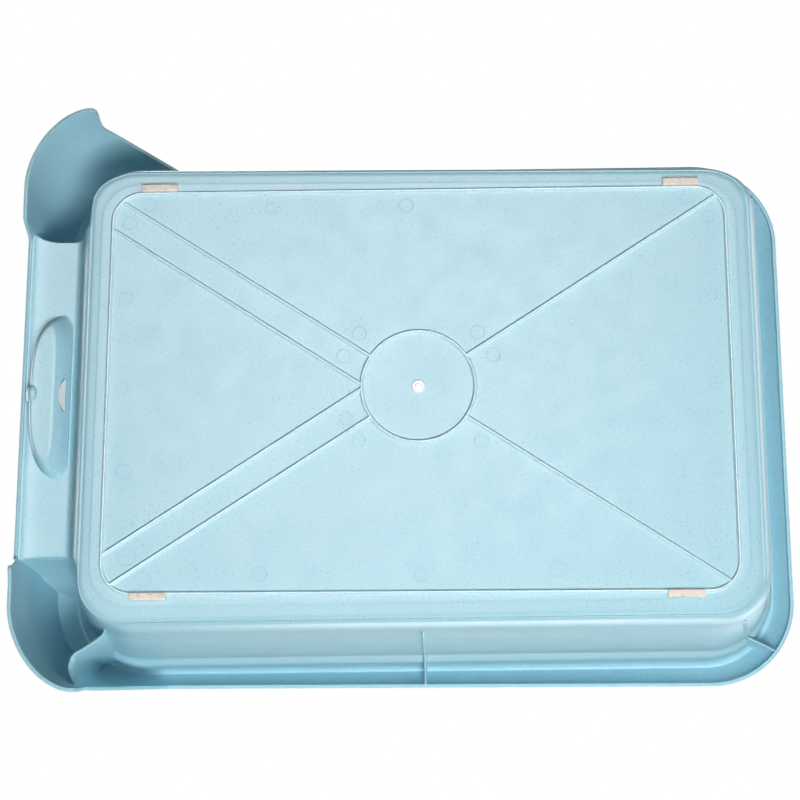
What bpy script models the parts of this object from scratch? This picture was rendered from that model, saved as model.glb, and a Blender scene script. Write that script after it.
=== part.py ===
"""Dog potty tray: a one-piece moulded pan with three high walls and a low entry, a lift-out grate and anti-slip pads.

Units are metres. +Z is up, the low entry is at -X, and the origin is at the middle of the surface it stands on.
"""

import math
from collections import namedtuple

import bmesh
import bpy
from mathutils import Vector
from mathutils.bvhtree import BVHTree

MM = 0.001

# Plastic and clearances
PLASTIC = 2.2 * MM          # wall of the moulding
SLIP = 0.3 * MM             # gap between neighbouring pieces
OVERRUN = 3.0 * MM          # how far a cutter runs past what it cuts
SINK = 0.9 * MM             # how far a rib or a web reaches into the shell that carries it

# Overall sizes
FRONT_REACH = 250.0 * MM    # outermost plastic ahead of and behind the origin
BACK_REACH = 250.0 * MM
EAR_HALF = 191.5 * MM       # half width over the corner shells, at their feet
HEIGHT = 106.0 * MM

# Pan: outer face of its rounded base edge, then the walls
EDGE_INSET_FRONT = 42.4 * MM
EDGE_INSET_BACK = 25.2 * MM
EDGE_INSET_HALF_FRONT = 37.5 * MM
EDGE_INSET_HALF_BACK = 41.0 * MM
EDGE_FRONT = FRONT_REACH - EDGE_INSET_FRONT
EDGE_BACK = BACK_REACH - EDGE_INSET_BACK
EDGE_HALF_FRONT = EAR_HALF - EDGE_INSET_HALF_FRONT
EDGE_HALF_BACK = EAR_HALF - EDGE_INSET_HALF_BACK
EDGE_RADIUS = 33.0 * MM
SHOULDER_RUN = 13.5 * MM
SHOULDER_RISE_FRONT = 25.0 * MM
SHOULDER_RISE_BACK = 18.2 * MM
ENTRY_SHOULDER_RISE = 12.0 * MM
SHOULDER_POWER = 1.65
WALL_RUN_FRONT = 7.0 * MM   # how far the wall leans out between its base edge and the step
WALL_RUN_BACK = 8.0 * MM
STEP_DROP = 28.3 * MM       # from the top down to the underside of the outward step
STEP_Z = HEIGHT - STEP_DROP
STEP_RUN_FRONT = 6.8 * MM
STEP_RUN_BACK = 6.6 * MM
STEP_SHARES = ((0.13, 0.12), (0.42, 0.27), (0.74, 0.43), (0.9, 0.62), (1.0, 1.0))
ENTRY_RUN = 6.9 * MM        # from the low wall's base edge to the flat of the entry ledge
VALLEY_SHARES = ((0.07, 0.38), (0.2, 0.66), (0.38, 0.84), (0.6, 0.95), (0.8, 0.99), (1.0, 1.0))

# Underside ribs
RIB_TIP = 1.2 * MM          # height of the rib tips over the surface that the pads stand on
RIB_DEPTH = 1.6 * MM
RIB_THICK = 1.6 * MM
RIB_INSET_FRONT = 16.8 * MM
RIB_INSET_BACK = 21.0 * MM
RIB_INSET_HALF = 19.5 * MM
RIB_FRONT = EDGE_FRONT - RIB_INSET_FRONT    # middle of the border rib
RIB_BACK = EDGE_BACK - RIB_INSET_BACK
RIB_HALF = EDGE_HALF_BACK - RIB_INSET_HALF
RIB_RADIUS = 19.0 * MM
RING_X = 0.5 * (RIB_BACK - RIB_FRONT)
RING_RADIUS = 36.0 * MM
DIAGONAL_ANGLE = math.radians(33.2)
TWIN_OFFSET = 18.7 * MM     # between the two parallel diagonals towards each front corner
GATE_RADIUS = 4.3 * MM
GATE_DEPTH = 1.0 * MM

# Rim, skirt and the front corner shells
RIM_ARCH = 5.6 * MM         # depth of the round channel under the rim
SKIRT_DEPTH = 13.8 * MM
SKIRT_LOW = HEIGHT - SKIRT_DEPTH            # lower edge of the short skirt along the sides and the back
SHELL_FLARE = 12.1 * MM     # how much wider the shell is at its feet than at the skirt
EAR_CORNER_X = 42.0 * MM
EAR_CORNER_Y = 53.5 * MM
EAR_POWER = 1.8             # fullness of the corner's outline at the shell's feet, where 2 is an ellipse
RIM_CORNER_FRONT = 60.0 * MM
RIM_CORNER_BACK = 56.0 * MM
EAR_LOW = RIB_TIP
EAR_LENGTH = 45.5 * MM      # from the front to the rear edge of a corner shell
EAR_REAR = FRONT_REACH - EAR_LENGTH
EAR_FOOT = 4.5 * MM         # rounding of that edge's foot
EAR_HEEL = 20.5 * MM        # its upright part
EAR_BEND = 13.0 * MM
EAR_SLANT = math.radians(56.0)
EAR_TOP_EASE = 5.0 * MM
EAR_DRAFT = 0.8 * MM        # lean of the upright part
EAR_ROUND_START = 4.0 * MM  # how far the foot's rounding starts ahead of the rear edge

# Entry ledge
ENTRY_INSET = 87.5 * MM     # from the side of the corner shells to the end of the entry
ENTRY_HALF = EAR_HALF - ENTRY_INSET
LEDGE_UNDER = 20.2 * MM
LEDGE_SPRING = 18.4 * MM    # where the ledge turns down into its lip
LEDGE_POWER = 8.0           # how late the ledge starts to fall towards the lip
LIP_LOW = 16.7 * MM
LIP_BULGE = 0.9 * MM        # how far the lip stands ahead of the shell's own lean
EAR_ENTRY_RUN = 5.5 * MM    # length over which the lip drops to the corner shell's foot
EAR_EDGE_INSET = 3.0 * MM   # how far the shell's inner end is drawn back
EAR_EDGE_RUN = 22.0 * MM
RISE_RUN = 60.0 * MM        # length over which the wall climbs from the entry to the rim
RISE_POWER = 2.2

# Finger scoop in the entry ledge
SCOOP_HALF = 54.4 * MM
SCOOP_INSET = 32.5 * MM
SCOOP_LIP = 6.4 * MM
SCOOP_BACK = FRONT_REACH - SCOOP_INSET      # straight side, towards the pan
SCOOP_FRONT = FRONT_REACH - SCOOP_LIP
SCOOP_UNDER = 12.1 * MM
SCOOP_SLOPE = 8.0 * MM      # lean of the side towards the pan
SCOOP_ROUND = 5.0 * MM      # rounding of its lower edge
SCOOP_POWER = 3.0
SCOOP_END_SHARE = 1.5       # the ends are rounded this much more than the front
# Depth below the ledge, inset and lean at each ring, as shares of the scoop's depth, rounding and slope
SCOOP_SHARES = (
    (-0.12, -0.3, -0.1),
    (0.0, -0.3, 0.0),
    (0.14, -0.06, 0.1),
    (0.45, 0.08, 0.42),
    (0.75, 0.3, 0.72),
    (0.93, 0.65, 0.93),
    (1.0, 1.2, 1.12),
)
SLOT_HALF = 10.9 * MM
SLOT_INSET = 2.4 * MM
SLOT_WIDE = 4.9 * MM
SLOT_BACK = SCOOP_BACK + SLOT_INSET
SLOT_FRONT = SLOT_BACK + SLOT_WIDE
SLOT_END = 0.9 * MM         # width of the slot at its two ends
NUB_LONG = 6.4 * MM
NUB_WIDE = 3.9 * MM
NUB_X = SCOOP_FRONT - NUB_WIDE
NUB_LIFT = 0.6 * MM
NUB_SHARES = ((0.0, 0.35), (0.04, 0.62), (0.14, 0.84), (0.35, 0.96), (1.0, 1.08))

# Webs between the walls and the skirt
WEB_THICK = 1.5 * MM
WEB_RIB = 2.2 * MM          # how far a web stands off the wall at its thin lower end
WEB_START = 24.0 * MM
WEB_LAP = 0.4 * MM          # how far a web's lower edge stays above the skirt's
WEB_STEP = 2.2 * MM
SIDE_WEB_X = 8.5 * MM
# Plan paths of the webs at the corners, from the middle of the pan's corner rounding
BACK_WEB = ((14.2 * MM, 29.5 * MM), (28.2 * MM, 33.5 * MM), (43.7 * MM, 38.5 * MM))
FRONT_WEB = (
    (18.4 * MM, 25.0 * MM),
    (30.4 * MM, 27.0 * MM),
    (40.4 * MM, 31.5 * MM),
    (46.9 * MM, 37.5 * MM),
    (50.4 * MM, 45.0 * MM),
    (49.4 * MM, 52.0 * MM),
    (46.4 * MM, 56.6 * MM),
)

# Anti-slip pads
PAD_LONG = 23.2 * MM
PAD_WIDE = 4.6 * MM
PAD_GAP = 0.4 * MM          # between a pad and the border rib
PAD_INSET_FRONT = 29.8 * MM
PAD_INSET_BACK = 30.3 * MM
PAD_FRONT_X = PAD_INSET_FRONT - RIB_FRONT
PAD_BACK_X = RIB_BACK - PAD_INSET_BACK
PAD_Y = RIB_HALF + 0.5 * RIB_THICK + PAD_GAP + 0.5 * PAD_WIDE
PAD_SEAT = 0.5 * MM         # depth of the pocket that a pad sits in
PAD_ROUND = 0.4 * MM
PAD_CORNER = 0.7 * MM

# Lift-out grate
GRATE_GAP = 2.9 * MM        # between the grate's edge and the pan's walls
GRATE_THICK = 2.4 * MM
GRATE_EDGE_DEPTH = 4.4 * MM
GRATE_EDGE_THICK = 2.2 * MM
EDGE_SET = 0.1 * MM
GRATE_MARGIN_X = 10.0 * MM  # least distance of the slots from the pan's base edge
GRATE_MARGIN_Y = 12.0 * MM
SLOT_PITCH_X = 41.0 * MM
SLOT_PITCH_Y = 16.2 * MM
BAR_LONG = 6.5 * MM         # bar between the ends of two slots
BAR_WIDE = 5.8 * MM         # bar between the sides of two slots
SLOT_COLUMNS = int((EDGE_FRONT + EDGE_BACK - 2 * GRATE_MARGIN_X) / SLOT_PITCH_X)
SLOT_ROWS = 4 * int((EDGE_HALF_BACK - GRATE_MARGIN_Y - 0.5 * SLOT_PITCH_Y) / (2 * SLOT_PITCH_Y)) + 1
FOOT_RADIUS = 4.2 * MM
FOOT_TIP = 3.2 * MM
FOOT_COLUMNS = (0, 3, SLOT_COLUMNS - 4, SLOT_COLUMNS - 1)
FOOT_ROWS = (2, SLOT_ROWS // 2, SLOT_ROWS - 3)
TONGUE_HALF = 14.0 * MM     # tongue over the ledge, by which the grate is lifted
TONGUE_LAP = 6.2 * MM       # how far it reaches past the slot
TONGUE_REACH = SLOT_FRONT + TONGUE_LAP
TONGUE_POWER = 4.0
NOSE_INSET = 0.5 * MM       # how far the nose stays inside the slot's mouth

# How finely curved shapes are divided
SHOULDER_STEPS = 5
CORNER_STEPS = 9
EAR_FOOT_STEPS = 3
ARCH_STEPS = 7
SKIRT_STEPS = 3
ROUND_SIDES = 20
BORDER_STEPS = 6
RING_SIDES = 48
SCOOP_STEPS = 24
PAD_STEPS = 3
GRATE_STEPS = 6
FOOT_SIDES = 12
TONGUE_STEPS = 12
SLOT_STEPS = 10

Level = namedtuple("Level", "front back half_front half_back radius z z_back")


def lerp(a, b, share):
    return a + (b - a) * share


def ease(share):
    """0 to 1 with level ends."""
    share = min(max(share, 0.0), 1.0)
    return share * share * (3 - 2 * share)


def clear_scene():
    for thing in list(bpy.data.objects):
        bpy.data.objects.remove(thing, do_unlink=True)


def material(name, colour, roughness):
    made = bpy.data.materials.new(name)
    made.use_nodes = True
    shader = made.node_tree.nodes["Principled BSDF"]
    shader.inputs["Base Color"].default_value = (*colour, 1.0)
    shader.inputs["Roughness"].default_value = roughness
    return made


def object_from(bm, name, finish=None, collection=None):
    """Turns a bmesh into a named object with its faces pointing out."""
    bmesh.ops.recalc_face_normals(bm, faces=bm.faces)
    mesh = bpy.data.meshes.new(name)
    bm.to_mesh(mesh)
    bm.free()
    made = bpy.data.objects.new(name, mesh)
    (collection or bpy.context.scene.collection).objects.link(made)
    if finish:
        mesh.materials.append(finish)
    return made


def helper_group(name):
    """A collection of helper solids for one Boolean."""
    group = bpy.data.collections.new(name)
    bpy.context.scene.collection.children.link(group)
    return group


def as_helper(thing):
    thing.hide_render = True
    thing.display_type = "WIRE"
    return thing


def add_boolean(target, name, operation, group):
    cut = target.modifiers.new(name, "BOOLEAN")
    cut.operation = operation
    cut.solver = "EXACT"
    cut.operand_type = "COLLECTION"
    cut.collection = group


def prism(bm, outline, low, high):
    """Adds a closed upright prism over a plan outline."""
    bottom = [bm.verts.new((x, y, low)) for x, y in outline]
    top = [bm.verts.new((x, y, high)) for x, y in outline]
    bm.faces.new(bottom)
    bm.faces.new(top)
    for i in range(len(outline)):
        j = (i + 1) % len(outline)
        bm.faces.new((bottom[i], bottom[j], top[j], top[i]))


def loft(bm, loops):
    """Adds a closed solid through plan loops with equal numbers of points."""
    rings = [[bm.verts.new(p) for p in loop] for loop in loops]
    count = len(rings[0])
    for lower, upper in zip(rings, rings[1:]):
        for i in range(count):
            j = (i + 1) % count
            bm.faces.new((lower[i], lower[j], upper[j], upper[i]))
    bm.faces.new(rings[0])
    bm.faces.new(rings[-1])


def rounded_plan(front, back, half_front, half_back, radius, steps):
    """Plan outline of a rectangle that may narrow towards the back, with round corners."""
    corners = (
        (back - radius, half_back - radius, 0.0),
        (-front + radius, half_front - radius, 0.5),
        (-front + radius, -half_front + radius, 1.0),
        (back - radius, -half_back + radius, 1.5),
    )
    points = []
    for x, y, start in corners:
        for i in range(steps + 1):
            turn = math.pi * (start + 0.5 * i / steps)
            points.append((x + radius * math.cos(turn), y + radius * math.sin(turn)))
    return points


# The pan's levels

def pan_level(run, run_back, radius, z, z_back=None):
    """The pan's underside outline, run outside its base edge, at height z, or from z at the front to z_back."""
    halves = EDGE_HALF_FRONT + run, EDGE_HALF_BACK + run
    return Level(EDGE_FRONT + run, EDGE_BACK + run_back, *halves, radius, z, z if z_back is None else z_back)


def pan_levels(entry):
    """Outlines from the floor's edge to the rim's inner side, on the underside. entry picks the low front wall."""
    rise = ENTRY_SHOULDER_RISE if entry else SHOULDER_RISE_FRONT
    rise_back = ENTRY_SHOULDER_RISE if entry else SHOULDER_RISE_BACK
    floor_z = RIB_TIP + RIB_DEPTH
    levels = []
    for i in range(SHOULDER_STEPS + 1):
        turn = 0.5 * math.pi * i / SHOULDER_STEPS
        sin, cos = math.sin(turn), max(math.cos(turn), 0.0)
        inset = SHOULDER_RUN * (1 - sin ** (2 / SHOULDER_POWER))
        climb = 1 - cos ** (2 / SHOULDER_POWER)
        levels.append(
            pan_level(-inset, -inset, EDGE_RADIUS - inset, floor_z + rise * climb, floor_z + rise_back * climb)
        )
    if entry:
        edge_z = floor_z + rise
        for share, climb in VALLEY_SHARES:
            run = ENTRY_RUN * share
            levels.append(pan_level(run, run, EDGE_RADIUS + run, lerp(edge_z, LEDGE_UNDER, climb)))
        return levels
    levels.append(pan_level(WALL_RUN_FRONT, WALL_RUN_BACK, EDGE_RADIUS + WALL_RUN_FRONT, STEP_Z))
    for out, up in STEP_SHARES:
        run = WALL_RUN_FRONT + STEP_RUN_FRONT * out
        run_back = WALL_RUN_BACK + STEP_RUN_BACK * out
        levels.append(pan_level(run, run_back, EDGE_RADIUS + run, lerp(STEP_Z, HEIGHT - PLASTIC - RIM_ARCH, up)))
    return levels


def level_point(level, towards):
    """The point of a level's outline that faces a plan point outside it, for y at or above 0."""
    x, y = towards
    core_front = -level.front + level.radius
    core_back = level.back - level.radius
    core_half_front = level.half_front - level.radius
    core_half_back = level.half_back - level.radius
    share = min(max((x - core_front) / (core_back - core_front), 0.0), 1.0)
    z = lerp(level.z, level.z_back, share)
    if x < core_front:
        if y <= core_half_front:
            return -level.front, y, z
        turn = math.atan2(y - core_half_front, core_front - x)
        return core_front - level.radius * math.cos(turn), core_half_front + level.radius * math.sin(turn), z
    if x > core_back:
        if y <= core_half_back:
            return level.back, y, z
        turn = math.atan2(y - core_half_back, x - core_back)
        return core_back + level.radius * math.cos(turn), core_half_back + level.radius * math.sin(turn), z
    return x, lerp(level.half_front, level.half_back, share), z


# The outer shell: skirt, lip and corner shells

def shell_lean(z):
    return SHELL_FLARE * (z - EAR_LOW) / (SKIRT_LOW - EAR_LOW)


def shell_front_corner(z):
    """Middle, radii and fullness of the shell's front corner at height z, on its inner face."""
    share = (z - EAR_LOW) / (SKIRT_LOW - EAR_LOW)
    radius_x = lerp(EAR_CORNER_X, RIM_CORNER_FRONT, share) - PLASTIC
    radius_y = lerp(EAR_CORNER_Y, RIM_CORNER_FRONT, share) - PLASTIC
    front = FRONT_REACH - PLASTIC - shell_lean(z)
    half = EAR_HALF - PLASTIC - shell_lean(z)
    return -front + radius_x, half - radius_y, radius_x, radius_y, lerp(EAR_POWER, 2.0, min(share, 1.0))


def shell_half(z):
    return EAR_HALF - PLASTIC - shell_lean(z)


def shell_back(z):
    return BACK_REACH - PLASTIC + SHELL_FLARE - shell_lean(z)


def shell_point(station, z):
    """The inner face of the outer shell at a station and a height."""
    kind, value = station[:2]
    middle_x, middle_y, radius_x, radius_y, power = shell_front_corner(z)
    if kind == "front":
        start = shell_front_corner(EAR_LOW)[1]
        beyond = value - ENTRY_HALF
        forward = LIP_BULGE * (1 - ease(beyond / EAR_ENTRY_RUN)) if z < LEDGE_SPRING else 0.0
        if beyond > 0:
            value = lerp(ENTRY_HALF, middle_y, beyond / (start - ENTRY_HALF))
            forward -= EAR_EDGE_INSET * ease(beyond / EAR_ENTRY_RUN) * (1 - min(beyond / EAR_EDGE_RUN, 1.0)) ** 2
        return middle_x - radius_x - forward, value
    if kind == "front_corner":
        limit = shell_front_corner(EAR_LOW)[0]
        reach = min(max((middle_x - limit) / radius_x, 0.0), 1.0)
        turn = math.acos(reach ** (0.5 * power)) * value
        x = middle_x - radius_x * math.cos(turn) ** (2 / power)
        return x, middle_y + radius_y * math.sin(turn) ** (2 / power)
    if kind == "side":
        if value < middle_x:
            along = (middle_x - value) / radius_x
            return value, middle_y + radius_y * (1 - along ** power) ** (1 / power)
        return value, shell_half(z)
    radius = RIM_CORNER_BACK - PLASTIC + SHELL_FLARE - shell_lean(z)
    back_x, back_y = shell_back(z) - radius, shell_half(z) - radius
    if kind == "back_corner":
        turn = 0.5 * math.pi * (1 - value)
        return back_x + radius * math.cos(turn), back_y + radius * math.sin(turn)
    return shell_back(z), value * back_y


def rise_share(station):
    """0 along the entry, climbing round the front corner to 1 where the wall has its full height."""
    kind, value = station[:2]
    corner_y = shell_front_corner(EAR_LOW)[1]
    if kind == "front":
        share = max(value - ENTRY_HALF, 0.0) / RISE_RUN
    elif kind == "front_corner":
        share = (corner_y - ENTRY_HALF + 0.5 * math.pi * EAR_CORNER_Y * value) / RISE_RUN
    else:
        share = 1.0
    return 1 - (1 - min(share, 1.0)) ** RISE_POWER


def ear_rear_path():
    """Lower edge of a corner shell's rear end: (x, z) pairs from its foot up to the skirt."""
    path = []
    for i in range(EAR_FOOT_STEPS + 1):
        turn = 0.5 * math.pi * i / EAR_FOOT_STEPS
        x = -EAR_REAR - EAR_ROUND_START * (1 - math.sin(turn)) - 0.5 * EAR_DRAFT
        path.append((x, EAR_LOW + EAR_FOOT * (1 - math.cos(turn))))
    heel_x, heel_z = -EAR_REAR + 0.5 * EAR_DRAFT, EAR_LOW + EAR_HEEL
    path.append((heel_x, heel_z))
    for share in (0.5, 1.0):
        turn = (0.5 * math.pi - EAR_SLANT) * share
        path.append((heel_x + EAR_BEND * (1 - math.cos(turn)), heel_z + EAR_BEND * math.sin(turn)))
    bend_x, bend_z = path[-1]
    top_z = SKIRT_LOW - EAR_TOP_EASE * math.sin(EAR_SLANT)
    top_x = bend_x + (top_z - bend_z) / math.tan(EAR_SLANT)
    path.append((top_x, top_z))
    path.append((top_x + EAR_TOP_EASE, SKIRT_LOW))
    return path


def lower_edge(station):
    """Height of the shell's lower edge."""
    kind, value = station[:2]
    if kind == "front":
        return lerp(LIP_LOW, EAR_LOW, ease((value - ENTRY_HALF) / EAR_ENTRY_RUN))
    if kind == "front_corner":
        return EAR_LOW
    if kind == "side" and len(station) > 2:
        return station[2]
    return SKIRT_LOW


def stations():
    """Places round half of the tray, from the middle of the entry to the middle of the back."""
    corner_y = shell_front_corner(EAR_LOW)[1]
    made = [("front", 0.0), ("front", 0.5 * ENTRY_HALF), ("front", ENTRY_HALF)]
    for share in (0.2, 0.4, 0.6, 0.8, 1.0):
        made.append(("front", ENTRY_HALF + EAR_ENTRY_RUN * share))
    for share in (0.25, 0.6):
        made.append(("front", lerp(ENTRY_HALF + EAR_ENTRY_RUN, corner_y, share)))
    made += [("front_corner", i / CORNER_STEPS) for i in range(CORNER_STEPS)]
    made += [("side", x, z) for x, z in ear_rear_path()]
    corner_x = shell_back(SKIRT_LOW) - RIM_CORNER_BACK + PLASTIC
    made += [("side", lerp(ear_rear_path()[-1][0], corner_x, share)) for share in (0.33, 0.67)]
    made += [("back_corner", i / CORNER_STEPS) for i in range(CORNER_STEPS + 1)]
    made += [("back", 0.5), ("back", 0.0)]
    return made


def section(station):
    """Underside points of the tray's shell at one station, from the floor's edge out and down to the lower edge."""
    share = rise_share(station)
    facing = shell_point(station, 0.5 * (EAR_LOW + SKIRT_LOW))
    points = []
    for low, full in zip(pan_levels(True), pan_levels(False)):
        low_point, full_point = Vector(level_point(low, facing)), Vector(level_point(full, facing))
        points.append(tuple(low_point.lerp(full_point, share)))
    spring = lerp(LEDGE_SPRING, HEIGHT - PLASTIC - RIM_ARCH, share)
    outer_x, outer_y = shell_point(station, spring)
    inner_x, inner_y, _ = points[-1]
    for i in range(1, ARCH_STEPS):
        along = 0.5 * (1 - math.cos(math.pi * i / ARCH_STEPS))
        arch = HEIGHT - PLASTIC - RIM_ARCH + RIM_ARCH * math.sqrt(1 - (2 * along - 1) ** 2)
        flat = LEDGE_UNDER - (LEDGE_UNDER - LEDGE_SPRING) * along ** LEDGE_POWER
        points.append((lerp(inner_x, outer_x, along), lerp(inner_y, outer_y, along), lerp(flat, arch, share)))
    low = lower_edge(station)
    for i in range(SKIRT_STEPS + 1):
        z = lerp(spring, low, i / SKIRT_STEPS)
        points.append((*shell_point(station, z), z))
    return points


def tray_sheet():
    """The whole underside as one open sheet, lofted from section to section, its faces turned up."""
    half = [section(station) for station in stations()]
    mirrored = [[(x, -y, z) for x, y, z in points] for points in reversed(half[1:-1])]
    bm = bmesh.new()
    rows = [[bm.verts.new(p) for p in points] for points in half + mirrored]
    for here, there in zip(rows, rows[1:] + rows[:1]):
        for i in range(len(here) - 1):
            bm.faces.new((here[i], here[i + 1], there[i + 1], there[i]))
    bm.faces.new([row[0] for row in rows])
    bmesh.ops.recalc_face_normals(bm, faces=bm.faces)
    floor = max(bm.faces, key=lambda face: len(face.verts))
    if floor.normal.z < 0:
        bmesh.ops.reverse_faces(bm, faces=bm.faces)
    return bm


# Ribs, webs and the finger scoop

def strip_plan(start, end, thick):
    """Plan outline of a straight strip."""
    along = (Vector(end) - Vector(start)).normalized()
    side = Vector((-along.y, along.x)) * 0.5 * thick
    return [Vector(start) + side, Vector(start) - side, Vector(end) - side, Vector(end) + side]


def circle_plan(x, y, radius, sides):
    turns = [2 * math.pi * i / sides for i in range(sides)]
    return [(x + radius * math.cos(turn), y + radius * math.sin(turn)) for turn in turns]


def band(bm, outer, inner, low, high):
    """Adds a closed upright band between two plan outlines."""
    count = len(outer)
    corners = ((outer, low), (outer, high), (inner, high), (inner, low))
    rings = [[bm.verts.new((x, y, z)) for x, y in plan] for plan, z in corners]
    for k in range(len(rings)):
        here, there = rings[k], rings[(k + 1) % len(rings)]
        for i in range(count):
            j = (i + 1) % count
            bm.faces.new((here[i], here[j], there[j], there[i]))


def border_plan(offset):
    half = RIB_HALF + offset
    return rounded_plan(RIB_FRONT + offset, RIB_BACK + offset, half, half, RIB_RADIUS + offset, BORDER_STEPS)


def inside_border(point):
    middle = 0.5 * (RIB_BACK - RIB_FRONT)
    over_x = max(abs(point.x - middle) - 0.5 * (RIB_BACK + RIB_FRONT) + RIB_RADIUS, 0.0)
    over_y = max(abs(point.y) - RIB_HALF + RIB_RADIUS, 0.0)
    return math.hypot(over_x, over_y) < RIB_RADIUS


def border_reach(start, along):
    """Where a line from inside the border rib meets it."""
    near, far = 0.0, RIB_FRONT + RIB_BACK
    for _ in range(40):
        middle = 0.5 * (near + far)
        if inside_border(start + along * middle):
            near = middle
        else:
            far = middle
    return start + along * near


def floor_ribs(group):
    floor_z = RIB_TIP + RIB_DEPTH
    top = floor_z + SINK
    bm = bmesh.new()
    band(bm, border_plan(0.5 * RIB_THICK), border_plan(-0.5 * RIB_THICK), RIB_TIP, top)
    as_helper(object_from(bm, "rib_border", collection=group))
    bm = bmesh.new()
    outer = circle_plan(RING_X, 0.0, RING_RADIUS + 0.5 * RIB_THICK, RING_SIDES)
    inner = circle_plan(RING_X, 0.0, RING_RADIUS - 0.5 * RIB_THICK, RING_SIDES)
    band(bm, outer, inner, RIB_TIP, top)
    as_helper(object_from(bm, "rib_ring", collection=group))
    bm = bmesh.new()
    prism(bm, circle_plan(RING_X, 0.0, GATE_RADIUS, ROUND_SIDES), floor_z - GATE_DEPTH, top)
    as_helper(object_from(bm, "gate_boss", collection=group))
    middle = Vector((RING_X, 0.0))
    cos, sin = math.cos(DIAGONAL_ANGLE), math.sin(DIAGONAL_ANGLE)
    for side in (1, -1):
        lines = (("front", -cos, 0.0), ("back", cos, 0.0), ("twin", -cos, TWIN_OFFSET))
        for label, lean, offset in lines:
            along = Vector((lean, side * sin))
            across = Vector((-sin, -side * cos)) * offset
            start = middle + across + along * math.sqrt(RING_RADIUS ** 2 - offset ** 2)
            bm = bmesh.new()
            prism(bm, strip_plan(start, border_reach(start, along), RIB_THICK), RIB_TIP, top)
            name = f"rib_{label}_{'right' if side > 0 else 'left'}"
            as_helper(object_from(bm, name, collection=group))


def along_path(path, reach):
    """The plan point and the direction at a distance along a path."""
    for start, end in zip(path, path[1:]):
        span = (end - start).length
        if reach <= span or end is path[-1]:
            along = (end - start) / span
            return start + along * reach, along
        reach -= span


def web(group, name, tree, path):
    """An upright web between a wall and the skirt: a low rib down the wall that widens out under the rim."""
    total = sum((end - start).length for start, end in zip(path, path[1:]))
    count = math.ceil(total / WEB_STEP)

    def underside(reach):
        place, along = along_path(path, reach)
        hit, normal = tree.ray_cast(Vector((*place, -OVERRUN)), Vector((0, 0, 1)))[:2]
        return place, along, hit.z, abs(normal.z)

    columns = []
    spread = None
    for i in range(count + 1):
        reach = total * i / count
        place, along, z, slope = underside(reach)
        high = max(min(z + SINK / slope, HEIGHT - PLASTIC - RIM_ARCH), z + SINK)
        if reach < WEB_RIB:
            low = max(WEB_START, z - PLASTIC)
        else:
            low = max(underside(reach - WEB_RIB)[2], WEB_START)
        if low > STEP_Z - WEB_RIB:
            spread = spread or (reach, min(low, STEP_Z))
            low = lerp(spread[1], SKIRT_LOW + WEB_LAP, (reach - spread[0]) / (total - spread[0]))
        columns.append((place, along, low, max(high, low + SINK)))
    first, last = columns[0], columns[-1]
    columns.insert(0, (first[0] - first[1] * SINK, first[1], first[2], first[3]))
    columns.append((last[0] + last[1] * SINK, last[1], last[2], last[3]))
    bm = bmesh.new()
    rings = []
    for place, along, low, high in columns:
        side = Vector((-along.y, along.x)) * 0.5 * WEB_THICK
        corners = ((place + side, low), (place - side, low), (place - side, high), (place + side, high))
        rings.append([bm.verts.new((*plan, z)) for plan, z in corners])
    for here, there in zip(rings, rings[1:]):
        for i in range(len(here)):
            j = (i + 1) % len(here)
            bm.faces.new((here[i], here[j], there[j], there[i]))
    bm.faces.new(rings[0])
    bm.faces.new(rings[-1])
    as_helper(object_from(bm, name, collection=group))


def wall_half(x):
    """Half width of the pan's base edge at x."""
    front, back = -EDGE_FRONT + EDGE_RADIUS, EDGE_BACK - EDGE_RADIUS
    return lerp(EDGE_HALF_FRONT, EDGE_HALF_BACK, (x - front) / (back - front))


def webs(group, tree):
    for side, label in ((1, "right"), (-1, "left")):
        ends = wall_half(SIDE_WEB_X), shell_half(SKIRT_LOW + WEB_LAP)
        web(group, f"web_side_{label}", tree, [Vector((SIDE_WEB_X, side * y)) for y in ends])
        middle_x, middle_y = EDGE_BACK - EDGE_RADIUS, EDGE_HALF_BACK - EDGE_RADIUS
        path = [Vector((middle_x + x, side * (middle_y + y))) for x, y in BACK_WEB]
        web(group, f"web_back_{label}", tree, path)
        middle_x, middle_y = EDGE_FRONT - EDGE_RADIUS, EDGE_HALF_FRONT - EDGE_RADIUS
        path = [Vector((-middle_x - x, side * (middle_y + y))) for x, y in FRONT_WEB]
        web(group, f"web_front_{label}", tree, path)


def d_plan(back, front, half):
    """Plan outline of the scoop: straight towards the pan, full and round towards the entry."""
    points = []
    for i in range(SCOOP_STEPS + 1):
        turn = math.pi * i / SCOOP_STEPS
        cos, sin = math.cos(turn), max(math.sin(turn), 0.0)
        x = back + (front - back) * sin ** (2 / SCOOP_POWER)
        points.append((-x, half * math.copysign(abs(cos) ** (2 / SCOOP_POWER), cos)))
    return points


def scoop_loops(inset, lift):
    """Rings of the scoop's outer face, or with inset and lift of the recess above it."""
    depth = LEDGE_UNDER - SCOOP_UNDER
    slant = math.hypot(SCOOP_SLOPE, depth) / depth
    loops = []
    for down, narrow, lean in SCOOP_SHARES:
        edge = inset + SCOOP_ROUND * narrow
        back = SCOOP_BACK + SCOOP_SLOPE * lean + inset * slant
        plan = d_plan(back, SCOOP_FRONT - edge, SCOOP_HALF - edge * SCOOP_END_SHARE)
        loops.append([(x, y, LEDGE_UNDER - depth * down + lift) for x, y in plan])
    return loops


def slot_plan(grow):
    """Plan outline of the slot in the scoop, grown or shrunk: straight towards the pan, bowed towards the entry."""
    back, front, half = SLOT_BACK - grow, SLOT_FRONT + grow, SLOT_HALF + grow
    points = [(-back, -half), (-back, half)]
    for i in range(SLOT_STEPS + 1):
        share = 1 - 2 * i / SLOT_STEPS
        bow = lerp(back + SLOT_END + grow, front, 1 - share * share)
        points.append((-bow, half * share))
    return points


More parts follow.
